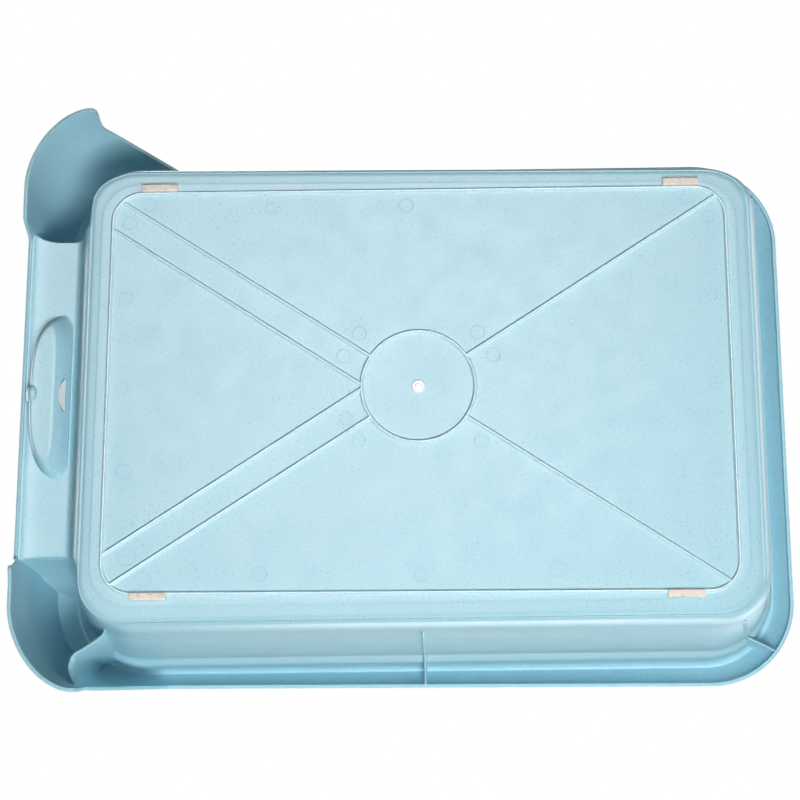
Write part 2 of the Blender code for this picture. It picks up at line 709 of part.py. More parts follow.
def scoop(added, cut):
    bm = bmesh.new()
    loft(bm, scoop_loops(0.0, 0.0))
    as_helper(object_from(bm, "scoop_boss", collection=added))
    bm = bmesh.new()
    loops = scoop_loops(PLASTIC, PLASTIC)
    top = [(x, y, LEDGE_UNDER + PLASTIC + OVERRUN) for x, y, _ in loops[0]]
    loft(bm, [top] + loops[1:])
    as_helper(object_from(bm, "scoop_recess", collection=cut))
    bm = bmesh.new()
    prism(bm, slot_plan(0.0), SCOOP_UNDER - OVERRUN, LEDGE_UNDER + PLASTIC)
    as_helper(object_from(bm, "scoop_slot", collection=cut))
    bm = bmesh.new()
    tip = RIB_TIP + NUB_LIFT
    loft(bm, [[(x, y, lerp(tip, SCOOP_UNDER + SINK, up)) for x, y in nub_plan(wide)] for up, wide in NUB_SHARES])
    as_helper(object_from(bm, "scoop_nub", collection=added))


def nub_plan(share):
    points = []
    for i in range(ROUND_SIDES):
        turn = 2 * math.pi * i / ROUND_SIDES
        points.append((NUB_WIDE * share * math.cos(turn) - NUB_X, NUB_LONG * share * math.sin(turn)))
    return points


# Anti-slip pads and their pockets

def pad_places():
    for x, end in ((PAD_FRONT_X, "front"), (PAD_BACK_X, "back")):
        for side, label in ((1, "right"), (-1, "left")):
            yield f"pad_{end}_{label}", x, side * PAD_Y


def pad_plan(x, y, grow):
    half = 0.5 * PAD_LONG + grow
    wide = 0.5 * PAD_WIDE + grow
    radius = PAD_CORNER + grow
    return [(x + px, y + py) for px, py in rounded_plan(half, half, wide, wide, radius, PAD_STEPS)]


def pads(finish, cut):
    floor_z = RIB_TIP + RIB_DEPTH
    for name, x, y in pad_places():
        bm = bmesh.new()
        loops = ((-PAD_ROUND, 0.0), (0.0, PAD_ROUND), (0.0, floor_z + PAD_SEAT - SLIP))
        loft(bm, [[(px, py, z) for px, py in pad_plan(x, y, grow)] for grow, z in loops])
        object_from(bm, name, finish)
        bm = bmesh.new()
        prism(bm, pad_plan(x, y, SLIP), floor_z - OVERRUN, floor_z + PAD_SEAT)
        as_helper(object_from(bm, f"{name}_pocket", collection=cut))


# Lift-out grate

def grate_plan(offset):
    gap = PLASTIC + GRATE_GAP - offset
    return rounded_plan(
        EDGE_FRONT - gap, EDGE_BACK - gap, EDGE_HALF_FRONT - gap, EDGE_HALF_BACK - gap, EDGE_RADIUS - gap, GRATE_STEPS
    )


def slot_cutters(bm, low, high):
    """Slots in brick bond; the cells over the feet stay solid."""
    middle_x = 0.5 * (EDGE_BACK - EDGE_FRONT)
    for row in range(SLOT_ROWS):
        y = (row - 0.5 * (SLOT_ROWS - 1)) * SLOT_PITCH_Y
        shifted = row % 2
        for column in range(SLOT_COLUMNS + shifted):
            if not shifted and row in FOOT_ROWS and column in FOOT_COLUMNS:
                continue
            first = (column - 0.5 * SLOT_COLUMNS - 0.5 * shifted) * SLOT_PITCH_X
            start = max(first, -0.5 * SLOT_COLUMNS * SLOT_PITCH_X) + 0.5 * BAR_LONG
            end = min(first + SLOT_PITCH_X, 0.5 * SLOT_COLUMNS * SLOT_PITCH_X) - 0.5 * BAR_LONG
            wide = SLOT_PITCH_Y - BAR_WIDE
            prism(bm, strip_plan((middle_x + start, y), (middle_x + end, y), wide), low, high)


def tongue_plan():
    """Plan outline of the tongue, from inside the grate to its round tip over the scoop."""
    root = EDGE_FRONT - PLASTIC - GRATE_GAP - SINK
    points = []
    for i in range(TONGUE_STEPS + 1):
        turn = math.pi * i / TONGUE_STEPS
        cos, sin = math.cos(turn), max(math.sin(turn), 0.0)
        x = root + (TONGUE_REACH - root) * sin ** (2 / TONGUE_POWER)
        points.append((-x, TONGUE_HALF * math.copysign(abs(cos) ** (2 / TONGUE_POWER), cos)))
    return points


def grate(finish):
    bottom = LEDGE_UNDER + PLASTIC + SLIP
    top = bottom + GRATE_THICK
    bm = bmesh.new()
    prism(bm, grate_plan(0.0), bottom, top)
    made = object_from(bm, "grate", finish)
    added, cut = helper_group("grate_added"), helper_group("grate_cut")
    bm = bmesh.new()
    band(bm, grate_plan(-EDGE_SET), grate_plan(-GRATE_EDGE_THICK), top - GRATE_EDGE_DEPTH, bottom + SINK)
    as_helper(object_from(bm, "grate_edge", collection=added))
    bm = bmesh.new()
    prism(bm, tongue_plan(), bottom, top)
    as_helper(object_from(bm, "grate_tongue", collection=added))
    bm = bmesh.new()
    plan = slot_plan(-SLIP)
    drop = LEDGE_UNDER - SCOOP_UNDER
    mouth = [(x, y, LEDGE_UNDER - drop * (-x - SCOOP_BACK) / SCOOP_SLOPE + NOSE_INSET) for x, y in plan]
    loft(bm, [mouth, [(x, y, bottom + SINK) for x, y in plan]])
    as_helper(object_from(bm, "grate_nose", collection=added))
    bm = bmesh.new()
    tip = RIB_TIP + RIB_DEPTH + PLASTIC + SLIP
    middle_x = 0.5 * (EDGE_BACK - EDGE_FRONT)
    for row in FOOT_ROWS:
        y = (row - 0.5 * (SLOT_ROWS - 1)) * SLOT_PITCH_Y
        for column in FOOT_COLUMNS:
            x = middle_x + (column + 0.5 - 0.5 * SLOT_COLUMNS) * SLOT_PITCH_X
            low_loop = [(px, py, tip) for px, py in circle_plan(x, y, FOOT_TIP, FOOT_SIDES)]
            high_loop = [(px, py, bottom + SINK) for px, py in circle_plan(x, y, FOOT_RADIUS, FOOT_SIDES)]
            loft(bm, [low_loop, high_loop])
    as_helper(object_from(bm, "grate_feet", collection=added))
    bm = bmesh.new()
    slot_cutters(bm, bottom - OVERRUN, top + OVERRUN)
    as_helper(object_from(bm, "grate_slots", collection=cut))
    add_boolean(made, "slots", "DIFFERENCE", cut)
    add_boolean(made, "edge_feet_and_tongue", "UNION", added)


def main():
    clear_scene()
    blue = material("blue_plastic", (0.50, 0.71, 0.80), 0.42)
    white = material("white_plastic", (0.86, 0.87, 0.88), 0.45)
    rubber = material("beige_rubber", (0.74, 0.66, 0.58), 0.75)
    bm = tray_sheet()
    tree = BVHTree.FromBMesh(bm)
    mesh = bpy.data.meshes.new("tray_body")
    bm.to_mesh(mesh)
    bm.free()
    tray = bpy.data.objects.new("tray_body", mesh)
    bpy.context.scene.collection.objects.link(tray)
    mesh.materials.append(blue)
    shell = tray.modifiers.new("shell", "SOLIDIFY")
    shell.thickness = PLASTIC
    shell.offset = 1.0
    shell.use_even_offset = True
    added, cut = helper_group("tray_added"), helper_group("tray_cut")
    floor_ribs(added)
    webs(added, tree)
    scoop(added, cut)
    pads(rubber, cut)
    add_boolean(tray, "ribs_webs_and_scoop", "UNION", added)
    add_boolean(tray, "recess_slot_and_pockets", "DIFFERENCE", cut)
    grate(white)


main()
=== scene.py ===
"""Dog potty tray seen from below: speckled pale blue moulding, beige pads and a white grate."""

import math

import bmesh
import bpy
from mathutils import Matrix, Vector
from mathutils.bvhtree import BVHTree

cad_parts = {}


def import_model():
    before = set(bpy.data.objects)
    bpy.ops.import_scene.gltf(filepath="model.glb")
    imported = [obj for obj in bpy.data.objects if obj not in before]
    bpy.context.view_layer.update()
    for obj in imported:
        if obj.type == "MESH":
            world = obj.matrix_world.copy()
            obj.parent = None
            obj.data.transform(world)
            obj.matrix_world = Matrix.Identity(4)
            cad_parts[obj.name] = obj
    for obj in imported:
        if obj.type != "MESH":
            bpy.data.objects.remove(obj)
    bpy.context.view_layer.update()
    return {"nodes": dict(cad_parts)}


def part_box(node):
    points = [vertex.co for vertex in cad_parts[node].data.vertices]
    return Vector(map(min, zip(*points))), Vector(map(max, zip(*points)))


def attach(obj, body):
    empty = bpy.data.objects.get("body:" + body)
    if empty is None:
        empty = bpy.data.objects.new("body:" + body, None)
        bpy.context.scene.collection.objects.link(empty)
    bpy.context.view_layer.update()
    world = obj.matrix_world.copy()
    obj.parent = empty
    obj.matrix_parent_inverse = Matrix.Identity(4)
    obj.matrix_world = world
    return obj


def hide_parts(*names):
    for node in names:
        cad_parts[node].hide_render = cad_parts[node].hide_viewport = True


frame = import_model()

MM = 0.001

# Moulding
PLASTIC = 2.2 * MM
SINK = 0.9 * MM             # how far a web reaches into the shell that carries it
BEVEL = 0.65 * MM
BEVEL_ANGLE = math.radians(62)
BEVEL_SEGMENTS = 3
LONGEST_OFFSET = 4.4 * MM   # between the two faces of the shell, at its sharp corners

# Pan
EDGE_FRONT = 207.6 * MM
EDGE_BACK = 224.8 * MM
EDGE_HALF_FRONT = 153.8 * MM
EDGE_HALF_BACK = 150.5 * MM
EDGE_RADIUS = 33.0 * MM
FLOOR_Z = 2.8 * MM
BAND_FRONT = 10.2 * MM      # insets of the low ridge outside the border rib, where the floor steps up
BAND_HALF = 15.8 * MM
BAND_BACK = 15.0 * MM
BAND_RADIUS = 25.6 * MM
BAND_DROP = 0.5 * MM
# Shares of the way from the ridge to the crease line, and of the drop
BAND_SHARES = ((0.0, 0.0), (0.06, 0.04), (0.12, 0.15), (0.18, 0.28), (0.25, 0.36), (0.4, 0.48), (0.7, 0.74))
CREASE_FRONT = 3.1 * MM     # inset of the crease line from the base edge
CREASE_HALF = 5.4 * MM
CREASE_BACK = 6.8 * MM
CREASE_WIDE = 0.7 * MM
CREASE_DEEP = 0.3 * MM
CREASE_SHARES = ((1.0, 0.0), (0.0, 1.0), (-1.0, 0.0))
SHOULDER_RISE_FRONT = 17.0 * MM
SHOULDER_RISE_BACK = 15.0 * MM
ENTRY_SHOULDER_RISE = 12.0 * MM
SHOULDER_POWER = 1.7
WALL_RUN_FRONT = 7.0 * MM
WALL_RUN_BACK = 6.0 * MM
STEP_Z = 77.7 * MM
STEP_RUN_FRONT = 5.2 * MM
STEP_RUN_BACK = 4.6 * MM
# Outward and upward shares along the step: a round hollow, a sloping shelf and a round edge
STEP_SHARES = (
    (0.0, 0.0),
    (0.04, 0.1),
    (0.16, 0.2),
    (0.36, 0.28),
    (0.58, 0.35),
    (0.78, 0.43),
    (0.92, 0.56),
    (1.0, 1.0),
)
ENTRY_EDGE = 4.0 * MM       # how far the low front wall's edge stands ahead of the others
ENTRY_RUN = 9.8 * MM
ENTRY_RUN_POWER = 1.7
ENTRY_CLIMB_POWER = 1.1

# Rim, skirt and corner shells (ears)
HEIGHT = 105.7 * MM
RIM_ARCH = 5.6 * MM
ARCH_CREST = 0.25
ARCH_FOOT = 2.6 * MM        # how far the arch comes down below its start at the pan
ARCH_STRAIGHT = 0.8
SKIRT_LOW = 92.2 * MM
FRONT_REACH = 249.9 * MM
BACK_REACH = 249.9 * MM
EAR_HALF = 191.3 * MM
SHELL_FLARE = 11.7 * MM
EAR_CORNER_X = 42.0 * MM
EAR_CORNER_Y = 53.5 * MM
EAR_POWER = 1.8             # fullness of the corner's outline at its feet
ROUND_POWER = 2.0           # fullness of an ellipse
RIM_CORNER_FRONT = 60.0 * MM
RIM_CORNER_BACK = 56.0 * MM
EAR_LOW = 1.2 * MM
EAR_REAR = 204.5 * MM
EAR_FOOT = 4.5 * MM
EAR_HEEL = 20.5 * MM
EAR_BEND = 13.0 * MM
EAR_SLANT = math.radians(56.0)
EAR_TOP_EASE = 5.0 * MM
EAR_DRAFT = 0.8 * MM
EAR_ROUND_START = 4.0 * MM

# The two sides of the tray differ a little. Right is the side of +Y
RIGHT_INWARD = 1.8 * MM     # how far the right shell's front face stands further in at its foot
RIGHT_ROUND_OUT = -0.2 * MM
LEFT_EDGE_IN = 3.4 * MM     # how far the left base edge stands further in
CORNER_BLEND = 22.0 * MM
CORNER_CLEAR = 9.0 * MM

# Entry ledge
ENTRY_HALF = 104.0 * MM
ENTRY_NEAR = 2.0 * MM
LEDGE_UNDER = 20.2 * MM
LEDGE_SPRING = 18.4 * MM
LEDGE_POWER = 8.0
LIP_LOW = 16.7 * MM
LIP_BULGE = 0.9 * MM
EAR_ENTRY_RUN = 11.0 * MM
EAR_ENTRY_MARGIN = 2.4
EAR_EDGE_INSET = 1.2 * MM
EAR_EDGE_RUN = 22.0 * MM
LEDGE_END_PAN = 4.5 * MM
LEDGE_END_LIP_LEFT = 6.0 * MM
LEDGE_END_LIP_RIGHT = 1.6 * MM
RISE_RUN = 28.0 * MM
RISE_POWER = 2.2
RISE_BLEND = 4.0 * MM
RISE_PAN_SHARE = 0.25       # share of the way across the ledge that the pan's side takes
RISE_ARCH_SHARE = 3         # how soon the arch is evenly divided as the rim climbs

# Finger scoop
SCOOP_HALF = 54.4 * MM
SCOOP_MARGIN = 1.1
SCOOP_BACK = 217.5 * MM
SCOOP_FRONT = 243.6 * MM
SCOOP_DEEP = 8.1 * MM
SCOOP_POWER = 2.9
SCOOP_SIDE = 2.8 * MM       # width of the steep side towards the lip
SCOOP_SIDE_POWER = 0.9
SCOOP_END = 16.0 * MM       # over which the bottom climbs at each end
SCOOP_END_RISE = 0.4
SCOOP_EASE = 4.2 * MM       # where the soft slope towards the pan starts, behind the straight side
SCOOP_SLOPE = 15.5 * MM
SCOOP_SLOPE_SHARE = 0.25
SCOOP_ROUND = 8.0 * MM
SCOOP_ROUND_POWER = 6
SCOOP_POLISHED = 0.1        # share of the depth from which the plastic is glossier
SLOT_HALF = 10.9 * MM
SLOT_BACK = 219.9 * MM
SLOT_FRONT = 224.3 * MM
SLOT_END = 1.9 * MM
SLOT_MARGIN = 1.0 * MM
SLOT_LOW = 10.0 * MM
SLOT_STEPS = 12
CUT_NEAR = 1e-7
NUB_X = 240.8 * MM
NUB_LONG = 8.2 * MM
NUB_WIDE = 4.6 * MM
NUB_HIGH = 1.7 * MM
NUB_ROOT = 4.5 * MM
NUB_POWER = 0.8
NUB_RINGS = 14
NUB_SIDES = 48

# Ribs
RIB_FRONT = 190.8 * MM
RIB_BACK = 203.8 * MM
RIB_HALF = 131.0 * MM
RIB_RADIUS = 19.0 * MM
RIB_CORNER_STEPS = 24
RING_X = 6.5 * MM
RING_RADIUS = 36.0 * MM
RING_SIDES = 120
DIAGONAL_ANGLE = math.radians(33.2)
DIAGONAL_HALVINGS = 40      # by which a diagonal's end on the border is found
TWIN_OFFSET = 18.7 * MM
# Half profile of a rib: distance from its middle and height over the floor
RIB_PROFILE = (
    (1.9 * MM, -0.25 * MM),
    (1.6 * MM, 0.02 * MM),
    (1.35 * MM, 0.22 * MM),
    (1.08 * MM, 0.55 * MM),
    (0.86 * MM, 0.95 * MM),
    (0.7 * MM, 1.4 * MM),
    (0.52 * MM, 1.72 * MM),
    (0.3 * MM, 1.9 * MM),
    (0.1 * MM, 1.96 * MM),
)

# Domes of the gate mark: radius, root above the floor, height, fullness, rings and sides
GATE_DOMES = (
    (4.6 * MM, 0.2 * MM, 1.0 * MM, 0.45, 10, 48),
    (2.3 * MM, -0.5 * MM, 0.7 * MM, 0.6, 8, 40),
)

# Ejector marks: place and width on the floor, in millimetres
EJECTOR_PLACES = (
    (-167, -123, 9), (-180, -111, 9), (-88, -120, 8), (-1, -121, 9), (-181, -60, 9), (-181, 0, 8),
    (-179, 54, 10), (-175, 108, 11), (-164, 122, 9), (-92, 119, 9), (8, 121, 8), (92, 117, 10),
    (175, 121, 8), (188, 108, 8), (193, 0, 8), (193, -60, 9), (193, -111, 8), (180, -124, 9),
    (-31, -35, 9), (-41, -20, 9), (-39, 21, 8), (-31, 35, 8), (44, -35, 9), (54, -20, 9),
    (46, 36, 9), (191, 54, 9),
)
EJECTOR_PROFILE = ((0.4 * MM, -0.02 * MM), (0.2 * MM, 0.075 * MM), (0.04 * MM, 0.1 * MM))
EJECTOR_SIDES = 40
SCOOP_MARK_X = 235.4 * MM
SCOOP_MARK_Y = 24.6 * MM
SCOOP_MARK_RADIUS = 3.3 * MM
SCOOP_MARK_SIDES = 32

# Webs
WEB_THICK = 1.5 * MM
WEB_RIB = 2.2 * MM
WEB_START = 22.0 * MM
WEB_LAP = 0.4 * MM
WEB_STEP = 1.0 * MM
WEB_BEND_STEPS = 8
WEB_EDGE_SHARES = ((1.0, 0.5), (0.7, 0.14), (0.0, 0.0))
SIDE_WEB_X = 8.5 * MM
BACK_WEB = ((206.0 * MM, 147.0 * MM), (220.0 * MM, 151.0 * MM), (235.5 * MM, 156.0 * MM))
FRONT_WEB = (
    (193.0 * MM, 146.0 * MM),
    (205.0 * MM, 148.0 * MM),
    (215.0 * MM, 152.5 * MM),
    (221.5 * MM, 158.5 * MM),
    (225.0 * MM, 166.0 * MM),
    (224.0 * MM, 173.0 * MM),
    (221.0 * MM, 177.6 * MM),
)

# Curled web at the right front corner: shares along and across its chord
CURL_SHARES = (
    (0.0, 0.0),
    (0.14, -0.01),
    (0.39, 0.148),
    (0.585, 0.284),
    (0.79, 0.25),
    (0.945, 0.095),
    (1.0, 0.0),
)
CURL_LOW = 24.0 * MM
CURL_HIGH = 99.0 * MM
CURL_END = 206.0 * MM
CURL_LEAN = 0.5
CURL_LAP = 0.02
CURL_RIDGE = 0.4
CURL_STEPS = 36
CURL_LEVELS = 8

# How far each pad sits from its even place, along the tray and across it
PAD_SHIFTS = {
    "pad_front_left": (0.0, 0.0),
    "pad_front_right": (0.0, -1.6 * MM),
    "pad_back_left": (2.5 * MM, 0.0),
    "pad_back_right": (-3.3 * MM, -1.6 * MM),
}
# Share of a pad's width and height over its face, from its side to its face
PAD_RINGS = ((1.0, 0.5 * MM), (0.96, 0.18 * MM), (0.88, 0.03 * MM), (0.6, 0.0))
PAD_CORNER = 0.9 * MM
PAD_CORNER_LEAST = 0.2 * MM
PAD_CORNER_STEPS = 5
PAD_UNEVEN = 0.006
PAD_TURNS = (2.3, 1.1)
PAD_PHASES = (90.0, 70.0)

# Grate
GRATE_BEVEL = 0.5 * MM
GRATE_BEVEL_ANGLE = math.radians(50)
GRATE_BEVEL_SEGMENTS = 2

# Steps along a section of the shell
BAND_STEPS = len(BAND_SHARES)
CREASE_STEPS = len(CREASE_SHARES)
SHOULDER_STEPS = 12
WALL_STEPS = 5
STEP_STEPS = 12
PAN_STEPS = BAND_STEPS + CREASE_STEPS + SHOULDER_STEPS + WALL_STEPS + STEP_STEPS
ARCH_STEPS = 64
SKIRT_STEPS = 14

# Stations round the shell
SCOOP_STATIONS = 72
LEDGE_STATIONS = 18
LEDGE_END_STATIONS = 26
EAR_FRONT_STATIONS = 10
EAR_CORNER_STATIONS = 44
EAR_ROUND_STATIONS = 8
EAR_HEEL_STATIONS = 4
EAR_SLANT_STATIONS = 14
EAR_TOP_STATIONS = 6
SIDE_STATIONS = 30
BACK_CORNER_STATIONS = 32
BACK_STATIONS = 12

# Angle in degrees past which an edge is shaded sharp
SHELL_SHARP = 38.0
RIB_SHARP = 60.0
MARK_SHARP = 80.0
NUB_SHARP = 70.0
WEB_SHARP = 50.0
PAD_SHARP = 50.0

# Colours on a screen, from 0 to 255
BLUE = (158, 205, 219)
DARK_BLUE = (112, 165, 186)
LIGHT_BLUE = (182, 216, 229)
# The ribs' blue is lighter than the shell's: a painted highlight for light catching the rib tops
RIB_PAINTED_HIGHLIGHT_BLUE = (204, 234, 242)
WHITE = (226, 226, 228)
GATE_WHITE = (232, 240, 244)
BEIGE = (241, 229, 217)
DARK_BEIGE = (206, 188, 178)

# Smoothest and roughest places of a plastic, and its specular level
BLUE_GLOSS = (0.34, 0.42, 0.32)
SCOOP_GLOSS = (0.26, 0.32, 0.2)
RIB_GLOSS = (0.22, 0.28, 0.5)

# Scale, detail and roughness of each grain
MOTTLE = (70.0, 4.0, 0.6)
FLECK = (900.0, 2.0, 0.55)
PALE = (640.0, 1.0, 0.5)
WHITE_GRAIN = (160.0, 5.0, 0.6)
GATE_GRAIN = (420.0, 5.0, 0.6)
RUBBER_GRAIN = (900.0, 5.0, 0.7)
RUBBER_STAIN = (260.0, 3.0, 0.6)
SPOT_SCALE = 260.0

# Where a grain starts and ends to show, and how strongly
MOTTLE_RANGE = (0.3, 0.7)
FLECK_STOPS = ((0.60, 0.0), (0.74, 0.75))
SPOT_STOPS = ((0.05, 0.6), (0.12, 0.0))
PALE_STOPS = ((0.62, 0.0), (0.74, 0.4))
STAIN_STOPS = ((0.52, 0.0), (0.7, 0.7))
MOTTLE_SHADE = 0.97
SPOT_SHADE = 0.8
WHITE_SHADE = 0.94
GATE_SHADE = 0.9
WHITE_ROUGHNESS = 0.45
GATE_ROUGHNESS = 0.35
RUBBER_ROUGHNESS = 0.72
RUBBER_SPECULAR = 0.3
PLAIN_SPECULAR = 0.5
BUMP_DEEP = 0.3 * MM
SPECKLE_BUMP = 0.12
PLAIN_BUMP = 0.1
RUBBER_BUMP = 0.5

# Floor and background
FLOOR_REACH = 3.0
FLOOR_DROP = 0.5 * MM
FLOOR_COLOUR = (0.85, 0.86, 0.87, 1.0)
FLOOR_ROUGHNESS = 0.9
FLOOR_SPECULAR = 0.1
BACKGROUND = (1.0, 1.0, 1.0, 1.0)
WORLD_LIGHT = 0.03

# Lamps: name, place, aim, width, power, and whether it lights the colour or only the gloss
LAMPS = (
    ("key_below", (0.3, 1.25, -1.7), (0.0, 0.0, 0.0), 0.8, 41.5, True),
    ("side_below", (1.6, -0.3, -1.4), (0.0, 0.0, 0.0), 0.8, 7.0, True),
    ("sheen_below", (-0.12, -0.68, -2.2), (0.0, 0.0, 0.0), 1.5, 112.0, False),
    ("sheen_south", (0.1, 1.3, 0.75), (0.0, 0.15, 0.0), 0.7, 15.0, False),
    ("sheen_west", (-1.3, -0.2, 0.38), (-0.2, 0.0, 0.0), 0.7, 26.0, False),
    ("spark_below", (-0.67, 0.67, -2.0), (-0.23, 0.045, 0.0), 0.15, 5.0, False),
    ("sheen_east", (1.5, -0.35, 0.35), (0.22, 0.0, 0.0), 0.8, 14.0, False),
    ("key_above", (-0.9, -1.3, 2.0), (0.0, 0.0, 0.05), 1.3, 48.0, True),
    ("fill_above", (1.4, 1.2, 1.6), (0.0, 0.0, 0.05), 1.6, 24.0, True),
)

# Camera: its axes and place
CAMERA_RIGHT = (0.99946574, 0.00101631, 0.03266803)
CAMERA_UP = (0.00919255, -0.9679095, -0.25113084)
CAMERA_BACK = (0.03136447, 0.25129698, -0.96740173)
CAMERA_PLACE = (0.03444538, 0.32563104, -1.21658731)
CAMERA_LENS = 90.0
CAMERA_SENSOR = 36.0
CAMERA_CLIP = 0.01


def lerp(a, b, share):
    return a + (b - a) * share


def clamp(value):
    return min(max(value, 0.0), 1.0)


def ease(share):
    share = clamp(share)
    return share * share * (3 - 2 * share)


def curve(a, b, c, d, share):
    """The point at a share of the way from b to c, on the smooth curve through a, b, c and d."""
    bend = (2 * a - 5 * b + 4 * c - d) * share ** 2
    return 0.5 * (2 * b + (c - a) * share + bend + (3 * b - a - 3 * c + d) * share ** 3)


def curve_at(knots, where):
    """The point on the smooth curve through knots, with where counted from knot to knot."""
    last = len(knots) - 1
    i = min(int(where), last - 1)
    around = [knots[min(max(k, 0), last)] for k in (i - 1, i, i + 1, i + 2)]
    return [curve(*values, where - i) for values in zip(*around)]


def straight(start, end, steps):
    """Even steps on the straight line from start to end, without its start."""
    return [tuple(lerp(a, b, k / steps) for a, b in zip(start, end)) for k in range(1, steps + 1)]


# Moulding's underside

def outline(front, half, back, radius, z, z_back):
    """A level of the pan, from its insets from the base edge and its heights at the front and the back."""
    half_front, half_back = EDGE_HALF_FRONT - half, EDGE_HALF_BACK - half
    return EDGE_FRONT - front, EDGE_BACK - back, half_front, half_back, radius, z, z_back


def pan_levels(entry):
    """Outlines from the flat floor to the inner side of the rim. entry picks the low front wall."""
    rise = ENTRY_SHOULDER_RISE if entry else SHOULDER_RISE_FRONT
    rise_back = ENTRY_SHOULDER_RISE if entry else SHOULDER_RISE_BACK
    entry_edge = ENTRY_EDGE if entry else 0.0
    levels = []
    for share, drop in BAND_SHARES:
        front = lerp(BAND_FRONT, CREASE_FRONT + CREASE_WIDE, share)
        half = lerp(BAND_HALF, CREASE_HALF + CREASE_WIDE, share)
        back = lerp(BAND_BACK, CREASE_BACK + CREASE_WIDE, share)
        radius = lerp(BAND_RADIUS, EDGE_RADIUS - CREASE_HALF - CREASE_WIDE, share)
        z = FLOOR_Z + BAND_DROP * drop
        levels.append(outline(front, half, back, radius, z, z))
    z = FLOOR_Z + BAND_DROP
    for beside, deep in CREASE_SHARES:
        grow = CREASE_WIDE * beside
        insets = CREASE_FRONT + grow, CREASE_HALF + grow, CREASE_BACK + grow
        level_z = z + CREASE_DEEP * deep
        levels.append(outline(*insets, EDGE_RADIUS - CREASE_HALF - grow, level_z, level_z))
    for i in range(1, SHOULDER_STEPS + 1):
        turn = 0.5 * math.pi * i / SHOULDER_STEPS
        sin, cos = math.sin(turn), max(math.cos(turn), 0.0)
        inset = 1 - sin ** (2 / SHOULDER_POWER)
        climb = 1 - cos ** (2 / SHOULDER_POWER)
        front = (CREASE_FRONT - CREASE_WIDE) * inset - entry_edge * (1 - inset)
        half = (CREASE_HALF - CREASE_WIDE) * inset
        back = (CREASE_BACK - CREASE_WIDE) * inset
        low, low_back = lerp(z, FLOOR_Z + rise, climb), lerp(z, FLOOR_Z + rise_back, climb)
        levels.append(outline(front, half, back, EDGE_RADIUS - half, low, low_back))
    if entry:
        steps = WALL_STEPS + STEP_STEPS
        for i in range(1, steps + 1):
            share = i / steps
            run = ENTRY_EDGE + (ENTRY_RUN - ENTRY_EDGE) * share ** ENTRY_RUN_POWER
            z = lerp(FLOOR_Z + rise, LEDGE_UNDER, math.sin(0.5 * math.pi * share) ** ENTRY_CLIMB_POWER)
            levels.append(outline(-run, -run, -run, EDGE_RADIUS + run, z, z))
        return levels
    for i in range(1, WALL_STEPS + 1):
        share = i / WALL_STEPS
        run, run_back = WALL_RUN_FRONT * share, WALL_RUN_BACK * share
        z, z_back = lerp(FLOOR_Z + rise, STEP_Z, share), lerp(FLOOR_Z + rise_back, STEP_Z, share)
        levels.append(outline(-run, -run, -run_back, EDGE_RADIUS + run, z, z_back))
    for i in range(1, STEP_STEPS + 1):
        out, up = curve_at(STEP_SHARES, i / STEP_STEPS * (len(STEP_SHARES) - 1))
        run, run_back = WALL_RUN_FRONT + STEP_RUN_FRONT * out, WALL_RUN_BACK + STEP_RUN_BACK * out
        z = lerp(STEP_Z, HEIGHT - PLASTIC - RIM_ARCH, up)
        levels.append(outline(-run, -run, -run_back, EDGE_RADIUS + run, z, z))
    return levels


def level_point(level, towards):
    """The point of a level's outline that faces a plan point outside it, for y at or above 0."""
    front, back, half_front, half_back, radius, z_front, z_back = level
    x, y = towards
    core_front, core_back = -front + radius, back - radius
    share = clamp((x - core_front) / (core_back - core_front))
    z = lerp(z_front, z_back, share)
    if core_front <= x <= core_back:
        return x, lerp(half_front, half_back, share), z
    way, core, edge, half = 1, core_back, back, half_back
    if x < core_front:
        way, core, edge, half = -1, core_front, -front, half_front
    if y <= half - radius:
        return edge, y, z
    turn = math.atan2(y - half + radius, way * (x - core))
    return core + way * radius * math.cos(turn), half - radius + radius * math.sin(turn), z


def shell_lean(z):
    return SHELL_FLARE * (z - EAR_LOW) / (SKIRT_LOW - EAR_LOW)


def shell_half(z):
    return EAR_HALF - PLASTIC - shell_lean(z)


def shell_back(z):
    return BACK_REACH - PLASTIC + SHELL_FLARE - shell_lean(z)


def shell_front_corner(z):
    """Middle, radii and fullness of the shell's front corner at height z, on its inner face."""
    share = (z - EAR_LOW) / (SKIRT_LOW - EAR_LOW)
    radius_x = lerp(EAR_CORNER_X, RIM_CORNER_FRONT, share) - PLASTIC
    radius_y = lerp(EAR_CORNER_Y, RIM_CORNER_FRONT, share) - PLASTIC
    front = FRONT_REACH - PLASTIC - shell_lean(z)
    power = lerp(EAR_POWER, ROUND_POWER, min(share, 1.0))
    return -front + radius_x, shell_half(z) - radius_y, radius_x, radius_y, power


